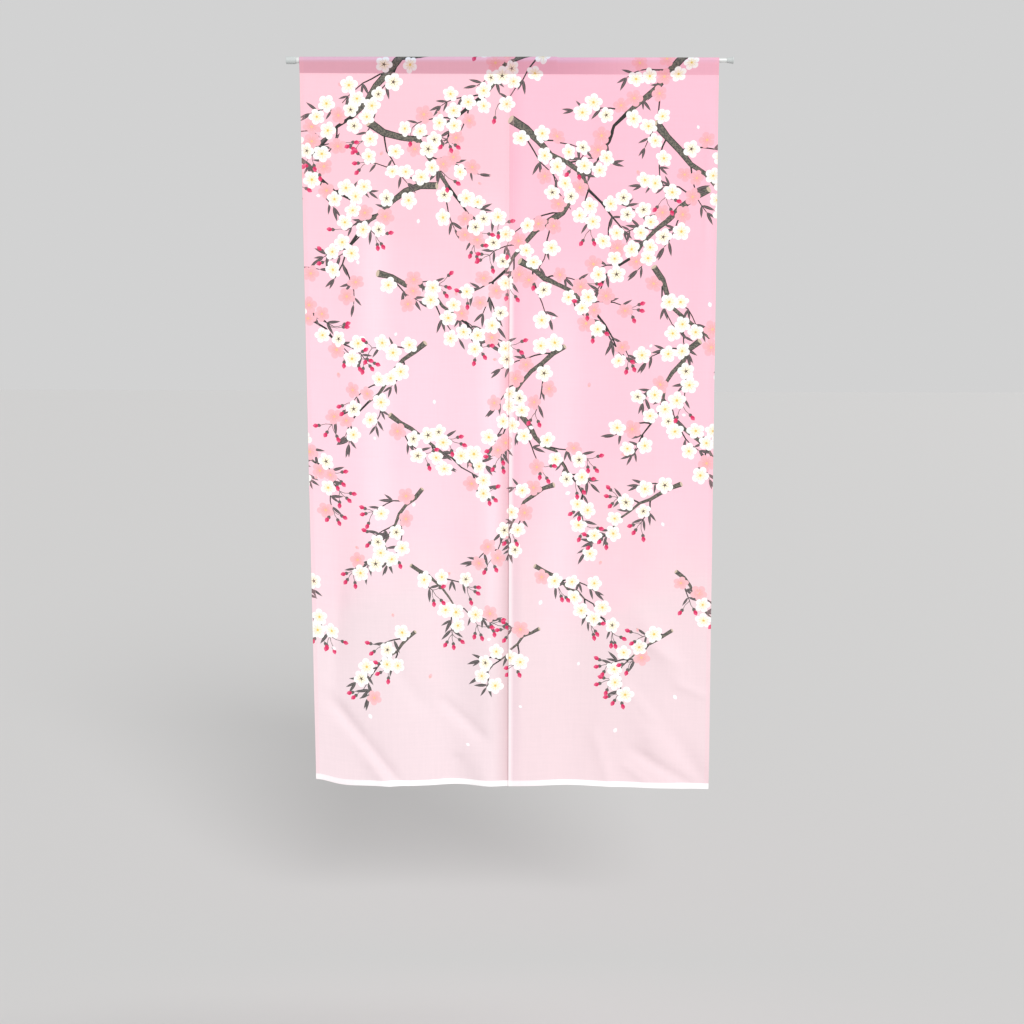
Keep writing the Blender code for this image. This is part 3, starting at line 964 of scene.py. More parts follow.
def border_of(on_cloth):
    """Grid places round the cloth's border, in order: down the left, along the foot and back."""
    low, high = on_cloth.argmax(axis=0), len(on_cloth) - 1 - on_cloth[::-1].argmax(axis=0)
    inner = np.flatnonzero(low == 0)
    left, right, end = inner[0], inner[-1], on_cloth.shape[1] - 1
    rows = np.arange(len(on_cloth))
    flap_rows = rows[low[0]:high[0] + 1]
    parts = [
        [(row, left) for row in rows[:low[0]]],
        [(low[0], column) for column in range(left, 0, -1)],
        [(row, 0) for row in flap_rows],
        [(high[0], column) for column in range(1, left)],
        [(row, left) for row in rows[high[0]:]],
        [(rows[-1], column) for column in range(left + 1, right)],
        [(row, right) for row in rows[:high[0] - 1:-1]],
        [(high[0], column) for column in range(right + 1, end)],
        [(row, end) for row in flap_rows[::-1]],
        [(low[0], column) for column in range(end - 1, right, -1)],
        [(row, right) for row in rows[low[0]::-1]],
        [(0, column) for column in range(right - 1, left, -1)],
    ]
    return [place for part in parts for place in part]


for panel in PANELS:
    grid, on_cloth = grid_of(panel)
    print(panel.name, "grid", grid.shape[:2], "border", len(border_of(on_cloth)))

# %% Inlay of the print into a panel
FIXED_COLUMNS = TURN_STEPS + 4
FIXED_TOP_ROWS = 2 * (ARC_STEPS + STRAIGHT_STEPS) + 3
FIXED_FOOT_ROWS = TURN_STEPS + 6
NARROW_CREASE = 0.0165
CREASE_LINES = (-1.4, -0.7, 0.0, 0.7, 1.4)
CREASE_STEP = 0.012
CREASE_INSET = 0.03


def counter_clockwise(outline):
    """True where the signed area of a closed outline is above zero."""
    x, y = outline[:, 0], outline[:, 1]
    return np.sum(x * np.roll(y, -1) - np.roll(x, -1) * y) > 0.0


def print_offset(panel):
    """What turns a panel's flat place into a place on the whole printed curtain."""
    return np.array([panel.left + EDGE_INSET - CURTAIN_LEFT, 0.0])


def fixed_edges(number):
    """Pairs of neighbours on the lines that the mesh must keep: sleeve rows and hem folds."""
    rows = np.concatenate([number[:FIXED_TOP_ROWS], number[-FIXED_FOOT_ROWS:]])
    columns = np.concatenate([number[:, :FIXED_COLUMNS], number[:, -FIXED_COLUMNS:]], axis=1).T
    pairs = [np.stack([line[:, :-1], line[:, 1:]], axis=-1).reshape(-1, 2) for line in (rows, columns)]
    pairs = np.concatenate(pairs)
    return pairs[(pairs >= 0).all(axis=1)]


def inside(points, outline):
    """True where a point lies in an outline: a level ray from it crosses an odd number of edges."""
    x, y = points[:, 0:1], points[:, 1:2]
    x0, y0 = outline.T
    x1, y1 = np.roll(outline, -1, axis=0).T
    crosses = (y0 > y) != (y1 > y)
    rise = np.where(y1 == y0, 1.0, y1 - y0)
    return (crosses & (x < x0 + (y - y0) / rise * (x1 - x0))).sum(axis=1) % 2 == 1


def topmost_shape(middles, outlines):
    """The last outline that holds each point, or -1."""
    topmost = np.full(len(middles), -1)
    for number, outline in enumerate(outlines):
        boxed = (middles > outline.min(axis=0)) & (middles < outline.max(axis=0))
        near = np.flatnonzero(boxed.all(axis=1))
        topmost[near[inside(middles[near], outline)]] = number
    return topmost


def crease_paths(panel):
    """Flat lines along the narrow creases and beside them, which let the mesh follow each bell.

    Height on the hung cloth becomes length down the strip by the share of the tail's drop.
    """
    paths = []
    for crease in panel.creases:
        start, run = np.array([crease.x0, crease.down0]), np.array(crease[2:4]) - crease[:2]
        beside = np.array([-run[1], run[0]]) / np.hypot(*run) * crease.half_width
        steps = np.linspace(0.0, 1.0, round(np.hypot(*run) / CREASE_STEP) + 1)[:, None]
        for offset in CREASE_LINES if crease.half_width < NARROW_CREASE else ():
            flat = start + run * steps + beside * offset - print_offset(panel)
            across = flat[:, 0] / panel_width(panel)
            _, _, z = tail_place(panel, across, np.ones_like(across))
            stitched = -stitch_height(flat[:, 0] + panel.left)
            _, _, _, reach = sleeve_measures(flat[:, 0] + panel.left)
            down = (flat[:, 1] - CURTAIN_TOP - stitched) / (-z - stitched)
            flat[:, 1] = reach + down * (STRIP_FOOT - reach)
            kept = (across > CREASE_INSET) & (across < 1.0 - CREASE_INSET)
            paths.append(flat[kept & (flat[:, 1] < STRIP_FOOT - FOOT_FLAP)])
    return [path for path in paths if len(path) > 1]


def inlay(panel, shapes):
    """Flat points, triangles and the number of the topmost shape in each (-1 for bare cloth)."""
    grid, on_cloth = grid_of(panel)
    number = np.full(on_cloth.shape, -1)
    number[on_cloth] = np.arange(on_cloth.sum())
    border = [int(number[place]) for place in border_of(on_cloth)]
    if not counter_clockwise(grid[on_cloth][border]):
        border.reverse()
    outlines = [shape.outline - print_offset(panel) for shape in shapes]
    sizes = np.array([len(outline) for outline in outlines])
    starts = np.repeat(len(grid[on_cloth]) + np.cumsum(sizes) - sizes, sizes)
    steps = np.concatenate([np.arange(size) for size in sizes])
    outline_edges = np.stack([starts + steps, starts + (steps + 1) % np.repeat(sizes, sizes)], axis=-1)
    paths = crease_paths(panel)
    lengths = np.array([len(path) for path in paths])
    along = np.arange(lengths.sum() - 1)
    along = np.delete(along, np.cumsum(lengths)[:-1] - 1) + len(grid[on_cloth]) + sizes.sum()
    path_edges = np.stack([along, along + 1], axis=-1)
    corners = [Vector(point) for point in np.concatenate([grid[on_cloth], *outlines, *paths])]
    edges = np.concatenate([fixed_edges(number), outline_edges, path_edges]).tolist()
    found = delaunay_2d_cdt(corners, edges, [border], 0, CLOSE)
    flat, triangles = np.array(found[0]), np.array(found[2])
    on_panel = np.array([len(held) > 0 for held in found[5]])
    first = flat[triangles[:, 1]] - flat[triangles[:, 0]]
    second = flat[triangles[:, 2]] - flat[triangles[:, 0]]
    area = (first[:, 0] * second[:, 1] - first[:, 1] * second[:, 0]) / 2
    on_panel &= area > CLOSE**2
    print(panel.name, "flat area", round(area[on_panel].sum(), 5), "square metres")
    kept, numbers = np.unique(triangles[on_panel], return_inverse=True)
    numbers = numbers.reshape(-1, 3)
    return flat[kept], numbers, topmost_shape(flat[kept][numbers].mean(axis=1), outlines)


def shapes_on(panel):
    """Those shapes of the print that reach onto a panel."""
    low = print_offset(panel)[0] - SIDE_FLAP
    high = low + panel_width(panel) + 2 * SIDE_FLAP
    return [m for m in motifs if m.outline[:, 0].max() > low and m.outline[:, 0].min() < high]


# %% [markdown]
# The sheet is closed: a front and a back of the same triangles, half a thickness to either
# side, and a narrow rim round the border. The normals come from the formula of the cloth and
# not from the triangles, so that the inlay leaves no trace in the shading. What the finish
# needs travels with the mesh: ink, the shape's own coordinates, and which hem or sleeve it is.

# %% Mesh of a panel
BAKE_SHARE = 0.49
BAKE_GAP = 0.01


def mesh_from(name, points, triangles):
    mesh = bpy.data.meshes.new(name)
    mesh.vertices.add(len(points))
    mesh.vertices.foreach_set("co", points.astype(np.float32).ravel())
    mesh.loops.add(triangles.size)
    mesh.loops.foreach_set("vertex_index", triangles.astype(np.int32).ravel())
    mesh.polygons.add(len(triangles))
    mesh.polygons.foreach_set("loop_start", np.arange(0, triangles.size, 3, dtype=np.int32))
    mesh.update(calc_edges=True)
    return mesh


def link_piece(name, mesh, material, node=None):
    """A finished piece in the scene: it rides on the body and takes the material it is given."""
    mesh.materials.append(material)
    piece = bpy.data.objects.new(name, mesh)
    bpy.context.scene.collection.objects.link(piece)
    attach(piece, "root")
    if node:
        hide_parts(node)
    return piece


def rim_of(triangles, count):
    """Triangles that join the front's border to the back's: a border edge has one triangle."""
    edges = np.concatenate([triangles[:, [0, 1]], triangles[:, [1, 2]], triangles[:, [2, 0]]])
    _, where, uses = np.unique(np.sort(edges, axis=1), axis=0, return_index=True, return_counts=True)
    start, end = edges[where[uses == 1]].T
    outer = np.stack([end + count, start + count, start], axis=-1)
    inner = np.stack([end + count, start, end], axis=-1)
    return np.concatenate([outer, inner])


def own_coordinates(shapes, topmost, places):
    """Corner places (n, 3, 2) in the frame of each triangle's shape, with its kind as third."""
    table = [(*m.centre, m.turn, m.size, m.squash, m.kind) for m in shapes]
    table = np.array(table + [(0, 0, 0, 1, 1, 0)])
    row = table[topmost][:, None, :]
    x, y = places[..., 0] - row[..., 0], places[..., 1] - row[..., 1]
    cos, sin = np.cos(row[..., 2]), np.sin(row[..., 2])
    u = (x * cos + y * sin) / row[..., 3]
    v = (y * cos - x * sin) / row[..., 3] / row[..., 4]
    return np.stack([u, v, np.broadcast_to(row[..., 5], u.shape)], axis=-1)


def set_attribute(mesh, name, kind, domain, values):
    attribute = mesh.attributes.new(name, kind, domain)
    key = {"FLOAT": "value", "FLOAT_VECTOR": "vector", "FLOAT_COLOR": "color"}[kind]
    attribute.data.foreach_set(key, values.astype(np.float32).ravel())


def panel_piece(panel, material):
    shapes = shapes_on(panel)
    flat, triangles, topmost = inlay(panel, shapes)
    place, _, _, facing = cloth_frames(panel, flat[:, 0], flat[:, 1])
    count = len(flat)
    rim = rim_of(triangles, count)
    points = np.concatenate([place - facing * CLOTH / 2, place + facing * CLOTH / 2])
    front = triangles[:, ::-1]
    mesh = mesh_from(panel.name, points, np.concatenate([front, triangles + count, rim]))

    corner_flat = np.concatenate([flat[front], flat[triangles], flat[rim % count]])
    shape_of = np.concatenate([topmost, topmost, np.full(len(rim), -1)])
    own = own_coordinates(shapes, shape_of, corner_flat + print_offset(panel))
    inks = np.array([INKS[shape.kind] for shape in shapes] + [(0.0, 0.0, 0.0, 0.0)])
    behind = np.concatenate([np.zeros(len(front)), np.ones(len(triangles)), np.zeros(len(rim))])

    middle = corner_flat.mean(axis=1)
    _, _, _, reach = sleeve_measures(panel.left + EDGE_INSET + middle[:, 0])
    in_sleeve = np.abs(middle[:, 1]) < reach
    in_side = np.minimum(middle[:, 0], panel_width(panel) - middle[:, 0]) < SIDE_REACH
    in_foot = middle[:, 1] > STRIP_FOOT - FOOT_REACH
    doubled = np.stack([in_sleeve, in_side, in_foot], axis=-1)
    set_attribute(mesh, "motif_at", "FLOAT_VECTOR", "CORNER", own)
    set_attribute(mesh, "ink", "FLOAT_COLOR", "CORNER", np.repeat(inks[shape_of], 3, axis=0))
    set_attribute(mesh, "doubled", "FLOAT_VECTOR", "FACE", doubled)
    set_attribute(mesh, "behind", "FLOAT", "FACE", behind)

    low, high = flat.min(axis=0), flat.max(axis=0)
    share = (corner_flat - low) / (high - low)
    bake = np.stack([(share[..., 0] + behind[:, None]) * BAKE_SHARE, 1.0 - share[..., 1]], axis=-1)
    bake[..., 0] += BAKE_GAP * behind[:, None]
    mesh.uv_layers.new(name="cloth").uv.foreach_set("vector", (corner_flat + print_offset(panel)).ravel())
    mesh.uv_layers.new(name="OFBake").uv.foreach_set("vector", bake.ravel())
    mesh.polygons.foreach_set("use_smooth", np.ones(len(mesh.polygons), bool))
    mesh.normals_split_custom_set_from_vertices(np.concatenate([-facing, facing]).tolist())
    print(panel.name, "triangles", len(mesh.polygons), "shapes", len(shapes))
    return link_piece(panel.name, mesh, material, panel.node)


print("mesh tools ready")

# %% [markdown]
# The finish of the cloth is dyed polyester with a plain, slightly slubby weave. The ground
# fades from rose at the top to near white at the hem and is a little cloudy, as sprayed dye
# is. Painted light is laid into the same colour: painted shade on the left panel beside the
# slit and on the right panel along its left edge, a painted highlight on the right panel's
# edge at the slit, and a few pale streaks down the cloth, which are painted highlights where
# folds catch the light. One group makes the threads: noise drawn out along the warp and
# along the weft, which gives threads of uneven thickness with no hard grid.

# %% Threads of the weave
ALONG_THREAD = 0.06
threads, given, out = new_group(
    "uneven_threads",
    [("Place", VECTOR, None), ("Fineness", FLOAT, 900.0), ("Slub", FLOAT, 220.0)],
    [("Tone", FLOAT), ("Height", FLOAT)],
)
heights, slubs = [], []
for long_way in ((ALONG_THREAD, 1.0, 1.0), (1.0, ALONG_THREAD, 1.0)):
    drawn = add_node(threads, "ShaderNodeMapping", {0: given["Place"], 3: long_way}).outputs[0]
    heights.append(noise(threads, drawn, given["Fineness"], 1.0))
    slubs.append(noise(threads, drawn, given["Slub"], 4.0))
threads.links.new(maths(threads, "MAXIMUM", *heights), out["Height"])
threads.links.new(maths(threads, "SUBTRACT", maths(threads, "ADD", *slubs), 1.0), out["Tone"])

# %% Petals, from a blossom's own coordinates
petals, given, out = new_group(
    "petal_marks",
    [("At", VECTOR, None)],
    [("Joint", FLOAT), ("Heart", FLOAT), ("Stamen", FLOAT), ("Shade", FLOAT), ("Vein", FLOAT)],
)
axes = add_node(petals, "ShaderNodeSeparateXYZ", {0: given["At"]}).outputs
flat_at = add_node(petals, "ShaderNodeCombineXYZ", {0: axes[0], 1: axes[1]}).outputs[0]
away = add_node(petals, "ShaderNodeVectorMath", {0: flat_at}, operation="LENGTH").outputs["Value"]
angle = maths(petals, "ARCTAN2", axes[1], axes[0])


def distance_from_rays(share):
    """How far a place lies from the nearest of several rays: the sine of a multiple of its
    angle, without its sign, times its distance from the heart."""
    wave = maths(petals, "ABSOLUTE", maths(petals, "SINE", times(petals, angle, share)))
    return times(petals, wave, away)


turned_half = maths(petals, "ABSOLUTE", maths(petals, "COSINE", times(petals, angle, 2.5)))
joint = fade(petals, times(petals, turned_half, away), 0.02, 0.10)
joint = times(petals, joint, spread(petals, away, 0.25, 0.45))
petals.links.new(joint, out["Joint"])
petals.links.new(fade(petals, away, 0.10, 0.17), out["Heart"])
line = fade(petals, distance_from_rays(7.5), 0.02, 0.06)
line = times(petals, line, fade(petals, away, 0.44, 0.50))
dot = fade(petals, distance_from_rays(7.5), 0.05, 0.11)
ring = fade(petals, maths(petals, "ABSOLUTE", maths(petals, "SUBTRACT", away, 0.46)), 0.03, 0.06)
petals.links.new(maths(petals, "MAXIMUM", line, times(petals, dot, ring)), out["Stamen"])
petals.links.new(fade(petals, away, 0.15, 0.75), out["Shade"])
vein = fade(petals, distance_from_rays(2.5), 0.02, 0.12)
vein = times(petals, vein, fade(petals, away, 0.55, 0.80))
petals.links.new(vein, out["Vein"])
print("threads and petals ready")

# %% Printed cloth
Ground = namedtuple("Ground", "top middle foot")
LEFT_GROUND = Ground(srgb(251, 197, 209), srgb(251, 207, 220), srgb(236, 216, 221))
RIGHT_GROUND = Ground(srgb(251, 190, 207), srgb(251, 199, 213), srgb(236, 213, 218))
WHITE_HEM_AND_HIGHLIGHT = srgb(255, 254, 254)
# Painted highlights: pale bands down the cloth where its folds catch the light.
FOLD_HIGHLIGHT_COLOUR = srgb(251, 224, 234)
Streak = namedtuple("Streak", "across half_width begins ends share")
PAINTED_FOLD_HIGHLIGHTS = (
    Streak(0.145, 0.055, 0.30, 1.05, 0.50),
    Streak(0.385, 0.040, 0.32, 1.15, 0.35),
    Streak(0.530, 0.070, 0.50, 1.20, 0.35),
)
# Painted shade on the white foot hem, where it faces away from the light.
HEM_PAINTED_SHADE = (
    Streak(0.050, 0.110, 1.30, 1.70, 0.40),
    Streak(0.455, 0.070, 1.30, 1.70, 0.35),
)
STREAK_FADE = 0.12
# Share of the painted highlight on the right panel's edge at the slit.
SLIT_EDGE_HIGHLIGHT = 0.55
# Painted light on the sleeve: a lilac painted highlight along its top over the rod, painted shade below
# it.
SLEEVE_TOP_PAINTED_LIGHT = srgb(217, 222, 237)
SLEEVE_FOOT_PAINTED_SHADE = srgb(220, 204, 212)
# Painted shade on the side hems, where the doubled cloth lets less light through.
SIDE_HEM_PAINTED_SHADE = srgb(250, 175, 186)
# Painted shade on the left panel beside the slit and on the right panel along its left edge, with their
# widths.
SLIT_SHADE = srgb(237, 225, 225)
SEAM_SHADE = srgb(247, 244, 247)
SLIT_SHADE_TOP = 0.014
SLIT_SHADE_FOOT = 0.050
SEAM_SHADE_WIDTH = 0.036
CLOTH_ROUGHNESS = 0.82
Fades = namedtuple("Fades", "begins ends")
CLOUD_SCALE, CLOUD_DETAIL, CLOUD_DRIFT = 5.0, 5.0, 0.45
TO_MIDDLE, TO_FOOT = Fades(0.12, 0.75), Fades(0.78, 1.26)
SLIT_SHADE_WIDEST = 1.1
SLIT_LINE, SLIT_LINE_SHARE = 0.008, 0.35
HIGHLIGHT_EDGE_SPAN = Fades(0.004, 0.012)
# Where the sleeve's painted highlight gives way to painted shade, and where it grows paler towards the
# right.
SLEEVE_LIT_TOP_FADE = Fades(0.008, 0.018)
SLEEVE_HIGHLIGHT_SPAN, SLEEVE_HIGHLIGHT_SHARE = Fades(0.50, 0.74), 0.45
SIDE_HEM_SHADE_SHARE = 0.10
FOOT_HEM_WHITE = 0.92
GROUND_SHOWS_BEHIND = 0.45
WEAVE_TONE, WEAVE_ROUGHNESS = 0.06, 0.25
WEAVE_METRES, WEAVE_STRENGTH = 0.0002, 0.4
SHEEN, SHEEN_ROUGHNESS = 0.15, 0.5


def is_kind(tree, value, kind):
    """1 where the shape is of this kind."""
    return maths(tree, "COMPARE", value, float(kind), 0.5)


def attribute(tree, name):
    return add_node(tree, "ShaderNodeAttribute", attribute_name=name).outputs


def streak_share(tree, axes, row):
    """How far a place lies in a streak: a soft band down the cloth, fading at both ends."""
    away = maths(tree, "ABSOLUTE", maths(tree, "SUBTRACT", axes[0], row.across))
    band = fade(tree, away, 0.0, row.half_width, row.share)
    begins = spread(tree, axes[1], row.begins - STREAK_FADE, row.begins + STREAK_FADE)
    ends = fade(tree, axes[1], row.ends - STREAK_FADE, row.ends + STREAK_FADE)
    return times(tree, times(tree, begins, ends), band)


def dyed_ground_and_painted_light(tree, place):
    """Rose that fades down the cloth in cloudy patches, a little paler on the left panel, with
    painted shade beside the slit and the seam, a painted highlight on the slit's edge, and
    pale streaks that are painted highlights on the folds."""
    axes = add_node(tree, "ShaderNodeSeparateXYZ", {0: place}).outputs
    cloud = noise(tree, place, CLOUD_SCALE, CLOUD_DETAIL)
    drift = maths(tree, "MULTIPLY_ADD", maths(tree, "SUBTRACT", cloud, 0.5), CLOUD_DRIFT, axes[1])
    high, low = spread(tree, drift, *TO_MIDDLE), spread(tree, drift, *TO_FOOT)
    left, right = (
        mixed(tree, low, mixed(tree, high, row.top, row.middle), row.foot)
        for row in (LEFT_GROUND, RIGHT_GROUND)
    )
    # Painted shade on the left panel beside the slit, lighter at its very edge, and painted shade on the
    # right panel along its left edge.
    from_seam = maths(tree, "SUBTRACT", axes[0], SEAM - CURTAIN_LEFT)
    on_right = maths(tree, "GREATER_THAN", from_seam, 0.0)
    shade_width = spread(tree, axes[1], SEWN_DROP, SLIT_SHADE_WIDEST, SLIT_SHADE_TOP, SLIT_SHADE_FOOT)
    near_slit = spread(tree, maths(tree, "DIVIDE", from_seam, shade_width), -1.0, 0.0)
    slit_line = spread(tree, from_seam, -SLIT_LINE, 0.0, 1.0, SLIT_LINE_SHARE)
    near_slit = times(tree, near_slit, slit_line)
    parted = spread(tree, axes[1], SEWN_DROP, SEWN_DROP + SLIT_PART_RUN)
    left = mixed(tree, times(tree, near_slit, parted), left, SLIT_SHADE, "MULTIPLY")
    near_seam = fade(tree, from_seam, 0.0, SEAM_SHADE_WIDTH)
    right = mixed(tree, near_seam, right, SEAM_SHADE, "MULTIPLY")
    # A painted highlight on the right panel's edge below the sewn stretch.
    edge_highlight = times(tree, fade(tree, from_seam, *HIGHLIGHT_EDGE_SPAN, SLIT_EDGE_HIGHLIGHT), parted)
    right = mixed(tree, edge_highlight, right, WHITE_HEM_AND_HIGHLIGHT)
    colour = mixed(tree, on_right, left, right)
    # Pale bands of painted highlight, where folds catch the light.
    for row in PAINTED_FOLD_HIGHLIGHTS:
        colour = mixed(tree, streak_share(tree, axes, row), colour, FOLD_HIGHLIGHT_COLOUR)
    return colour


PetalTints = namedtuple("PetalTints", "kind Shade Vein Joint Stamen Heart")
PETAL_TINTS = (
    PetalTints(
        kind=WHITE,
        Shade=srgb(255, 244, 200),
        Vein=srgb(250, 226, 146),
        Joint=srgb(232, 200, 206),
        Stamen=srgb(226, 160, 80),
        Heart=srgb(232, 196, 88),
    ),
    PetalTints(
        kind=CORAL,
        Shade=srgb(250, 172, 170),
        Vein=srgb(250, 198, 190),
        Joint=srgb(251, 198, 206),
        Stamen=srgb(240, 146, 112),
        Heart=srgb(246, 200, 140),
    ),
)
MARK_STRENGTHS = {"Shade": 0.6, "Vein": 0.6, "Joint": 0.9, "Stamen": 0.9, "Heart": 0.9}
BARK_LIGHT, BARK_SHARE, BARK_SCALE, BARK_FADE = srgb(128, 120, 108), 0.8, 260.0, Fades(0.44, 0.58)
RIB_GREY, RIB_SHARE, RIB_FADE = srgb(150, 144, 142), 0.35, Fades(0.015, 0.035)
SHINE_PINK, SHINE_SHARE, SHINE_FADE = srgb(250, 120, 160), 0.45, Fades(0.35, 0.75)


def printed_colour(tree, ground, place):
    """Ink over the ground, with veins, stamens, bark and midribs by the kind of shape."""
    ink = attribute(tree, "ink")
    at = attribute(tree, "motif_at")["Vector"]
    axes = add_node(tree, "ShaderNodeSeparateXYZ", {0: at}).outputs
    colour = mixed(tree, ink["Alpha"], ground, ink["Color"])
    marks_at = use_group(tree, petals, {"At": at})
    for row in PETAL_TINTS:
        mask = is_kind(tree, axes[2], row.kind)
        for name, strength in MARK_STRENGTHS.items():
            share = times(tree, times(tree, mask, marks_at[name]), strength)
            colour = mixed(tree, share, colour, getattr(row, name))
    bark = spread(tree, noise(tree, place, BARK_SCALE, 5.0), *BARK_FADE)
    bark = times(tree, is_kind(tree, axes[2], BARK), bark)
    colour = mixed(tree, times(tree, bark, BARK_SHARE), colour, BARK_LIGHT)
    rib = fade(tree, maths(tree, "ABSOLUTE", axes[1]), *RIB_FADE)
    rib = times(tree, rib, is_kind(tree, axes[2], LEAF))
    colour = mixed(tree, times(tree, rib, RIB_SHARE), colour, RIB_GREY)
    shine = spread(tree, maths(tree, "ADD", axes[0], axes[1]), *SHINE_FADE)
    shine = times(tree, shine, is_kind(tree, axes[2], BUD))
    return mixed(tree, times(tree, shine, SHINE_SHARE), colour, SHINE_PINK)


def cloth_material():
    """Ground, print, hems and sleeve in one net, with painted shade and painted highlights on the sleeve
    and the hems, and the threads as bump.
    """
    material = simple_material("printed_cloth", RIGHT_GROUND.middle, CLOTH_ROUGHNESS)
    tree = material.node_tree
    shader = tree.nodes["Principled BSDF"]
    shader.inputs["Sheen Weight"].default_value = SHEEN
    shader.inputs["Sheen Roughness"].default_value = SHEEN_ROUGHNESS
    place = add_node(tree, "ShaderNodeUVMap", uv_map="cloth").outputs[0]
    ground = dyed_ground_and_painted_light(tree, place)
    colour = printed_colour(tree, ground, place)
    behind = attribute(tree, "behind")["Fac"]
    colour = mixed(tree, times(tree, behind, GROUND_SHOWS_BEHIND), colour, ground)
    doubled = add_node(tree, "ShaderNodeSeparateXYZ", {0: attribute(tree, "doubled")["Vector"]}).outputs
    axes = add_node(tree, "ShaderNodeSeparateXYZ", {0: place}).outputs
    # The sleeve is painted darker as painted shade from the rod and the doubled cloth, less along its top
    # over the rod, where a lilac painted highlight lies, and paler towards the right, where that highlight
    # is stronger.
    from_top = maths(tree, "ABSOLUTE", axes[1])
    sleeve_painted_light = mixed(tree, spread(tree, from_top, *SLEEVE_LIT_TOP_FADE), SLEEVE_TOP_PAINTED_LIGHT, SLEEVE_FOOT_PAINTED_SHADE)
    sleeve_highlight = spread(tree, axes[0], *SLEEVE_HIGHLIGHT_SPAN, 0.0, SLEEVE_HIGHLIGHT_SHARE)
    sleeve_painted_light = mixed(tree, sleeve_highlight, sleeve_painted_light, WHITE_HEM_AND_HIGHLIGHT)
    colour = mixed(tree, doubled[0], colour, sleeve_painted_light, "MULTIPLY")
    # Painted shade on the side hems, where the doubled cloth lets less light through.
    colour = mixed(tree, times(tree, doubled[1], SIDE_HEM_SHADE_SHARE), colour, SIDE_HEM_PAINTED_SHADE)
    # The foot hem is white, less so where painted shade lies on it.
    whiteness = FOOT_HEM_WHITE
    for row in HEM_PAINTED_SHADE:
        whiteness = maths(tree, "SUBTRACT", whiteness, streak_share(tree, axes, row))
    colour = mixed(tree, times(tree, doubled[2], whiteness), colour, WHITE_HEM_AND_HIGHLIGHT)
    woven = use_group(tree, threads, {"Place": place})
    tone = maths(tree, "MULTIPLY_ADD", woven["Tone"], WEAVE_TONE, 1.0)
    tree.links.new(scaled(tree, colour, tone), shader.inputs["Base Color"])
    rough = maths(tree, "MULTIPLY_ADD", woven["Tone"], WEAVE_ROUGHNESS, CLOTH_ROUGHNESS)
    tree.links.new(rough, shader.inputs["Roughness"])
    add_bump(tree, woven["Height"], WEAVE_METRES, WEAVE_STRENGTH)
    return material


printed_cloth = cloth_material()
pieces = {panel.name: panel_piece(panel, printed_cloth) for panel in PANELS}

# %% [markdown]
# A sewing machine leaves a row of short stitches a little inside each hem, on both faces of
# the cloth. Every stitch is the same small spindle, set down by arrays: a place, a direction
# along the row and one across it, all read from the cloth's own formula.

# %% Stitches
STITCH_PITCH = 0.0030
STITCH_LENGTH = 0.0024
THREAD_RADIUS = 0.00016
HEM_INSET = 0.0012
SHOULDER = 0.32


def spindle():
    """Ten points and sixteen triangles: a tip, two rings of four and a tip, along x."""
    ring = np.array([(0.0, 1.0), (1.0, 0.0), (0.0, -1.0), (-1.0, 0.0)])
    rings = [np.column_stack([np.full(4, x), ring]) for x in (-SHOULDER, SHOULDER)]
    points = np.concatenate([[(-0.5, 0.0, 0.0)], *rings, [(0.5, 0.0, 0.0)]])
    k, after = np.arange(4), (np.arange(4) + 1) % 4
    faces = [
        np.stack([np.zeros(4, int), 1 + k, 1 + after], axis=-1),
        np.stack([1 + k, 5 + k, 5 + after], axis=-1),
        np.stack([1 + k, 5 + after, 1 + after], axis=-1),
        np.stack([5 + k, np.full(4, 9), 5 + after], axis=-1),
    ]
    return points, np.concatenate(faces)


def stitch_mesh(name, rows):
    """Joined spindles from rows of (place, along, across, outward, length), arrays (n, 3)."""
    points, faces = spindle()
    made = []
    for place, along, across, outward, length in rows:
        size = points * np.array([length, THREAD_RADIUS, THREAD_RADIUS])
        made.append(
            place[:, None, :]
            + size[None, :, 0:1] * along[:, None, :]
            + size[None, :, 1:2] * across[:, None, :]
            + size[None, :, 2:3] * outward[:, None, :]
        )
    corners = np.concatenate(made).reshape(-1, 3)
    offsets = np.arange(len(corners) // len(points)) * len(points)
    mesh = mesh_from(name, corners, (faces[None] + offsets[:, None, None]).reshape(-1, 3))
    print(name, "stitches", len(offsets), "triangles", len(mesh.polygons))
    return mesh


def stitch_row(panel, a, b, along_cloth, front, behind):
    """One row on both faces; front and behind are how far its threads lie from the middle."""
    place, right, fall, facing = cloth_frames(panel, a, b)
    along, across = (fall, right) if along_cloth else (right, fall)
    return [
        (place - facing * front, along, across, -np.cross(along, across), STITCH_LENGTH),
        (place + facing * behind, along, across, -np.cross(along, across), STITCH_LENGTH),
    ]


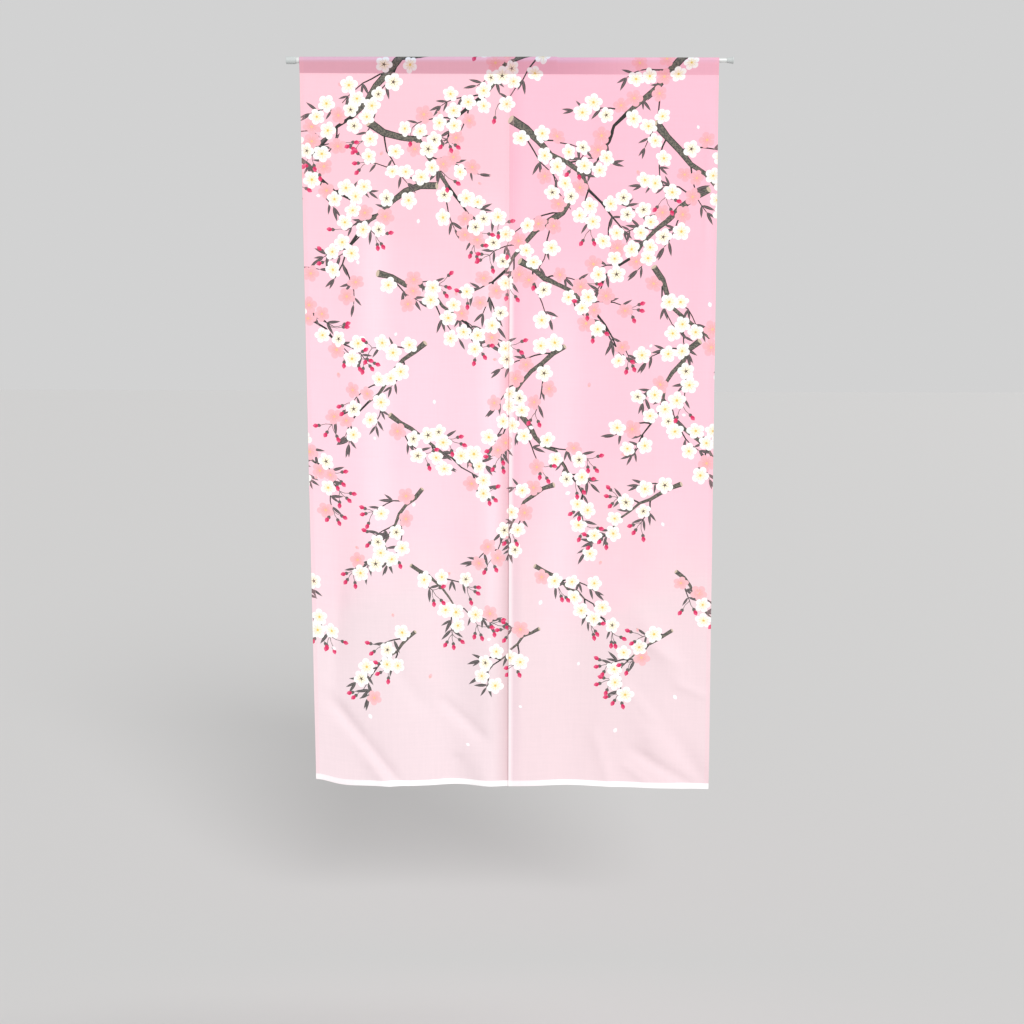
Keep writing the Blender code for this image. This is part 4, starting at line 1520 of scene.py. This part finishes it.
def panel_stitches(panel):
    width = panel_width(panel)
    front = CLOTH / 2 + THREAD_RADIUS / 2
    rows = []
    a = np.arange(STITCH_PITCH, width - STITCH_PITCH, STITCH_PITCH)
    _, _, _, reach = sleeve_measures(panel.left + EDGE_INSET + a)
    rows += stitch_row(panel, a, reach, False, front, BACK_GAP + front)
    hem_top = STRIP_FOOT - FOOT_REACH + HEM_INSET
    rows += stitch_row(panel, a, np.full_like(a, hem_top), False, front, 2 * FOOT_TURN + front)
    b = np.arange(reach.max() + STITCH_PITCH, hem_top, STITCH_PITCH)
    side = SIDE_REACH - HEM_INSET
    for at in (side, width - side):
        rows += stitch_row(panel, np.full_like(b, at), b, True, front, 2 * SIDE_TURN + front)
    return rows


THREAD = Handled("sewing_thread", srgb(252, 226, 236), 0.7, 300.0, 0.10, 0.10, 0.00003)
sewing_thread = handled_material(THREAD)
for panel in PANELS:
    name = panel.name.replace("cloth", "stitches")
    pieces[name] = link_piece(name, stitch_mesh(name, panel_stitches(panel)), sewing_thread)

# %% [markdown]
# Down to the slit the two panels are sewn together edge to edge. The seam shows as a fine
# line, held from behind by short stitches across it, and a bar of close stitches at the top
# of the slit keeps it from tearing.

# %% Seam and bar tack
SEAM_PITCH = 0.004
SEAM_STITCH = 0.0046
TACK_PITCH = 0.00035
TACK_COUNT = 10
TACK_STITCH = 0.0050


def seam_rows():
    right_panel = PANELS[1]
    _, _, _, reach = sleeve_measures(np.array([SEAM]))
    front = CLOTH / 2 + THREAD_RADIUS / 2
    foot = SEWN_DROP + reach[0] - STITCH_DROP_LEFT
    b = np.arange(reach[0] + SEAM_PITCH, foot, SEAM_PITCH)
    tack = foot + np.arange(TACK_COUNT) * TACK_PITCH
    rows = []
    for run, length, faces in ((b, SEAM_STITCH, (1.0,)), (tack, TACK_STITCH, (1.0, -1.0))):
        place, right, fall, facing = cloth_frames(right_panel, np.full_like(run, -EDGE_INSET), run)
        place[:, 0] = SEAM
        facing = np.broadcast_to((0.0, 1.0, 0.0), place.shape)
        right = np.broadcast_to((1.0, 0.0, 0.0), place.shape)
        for face in faces:
            away = front if face < 0 else 2 * SIDE_TURN + front
            rows.append((place + facing * away * face, right, fall, -np.cross(right, fall), length))
    return rows


pieces["seam"] = link_piece("seam", stitch_mesh("seam", seam_rows()), sewing_thread)
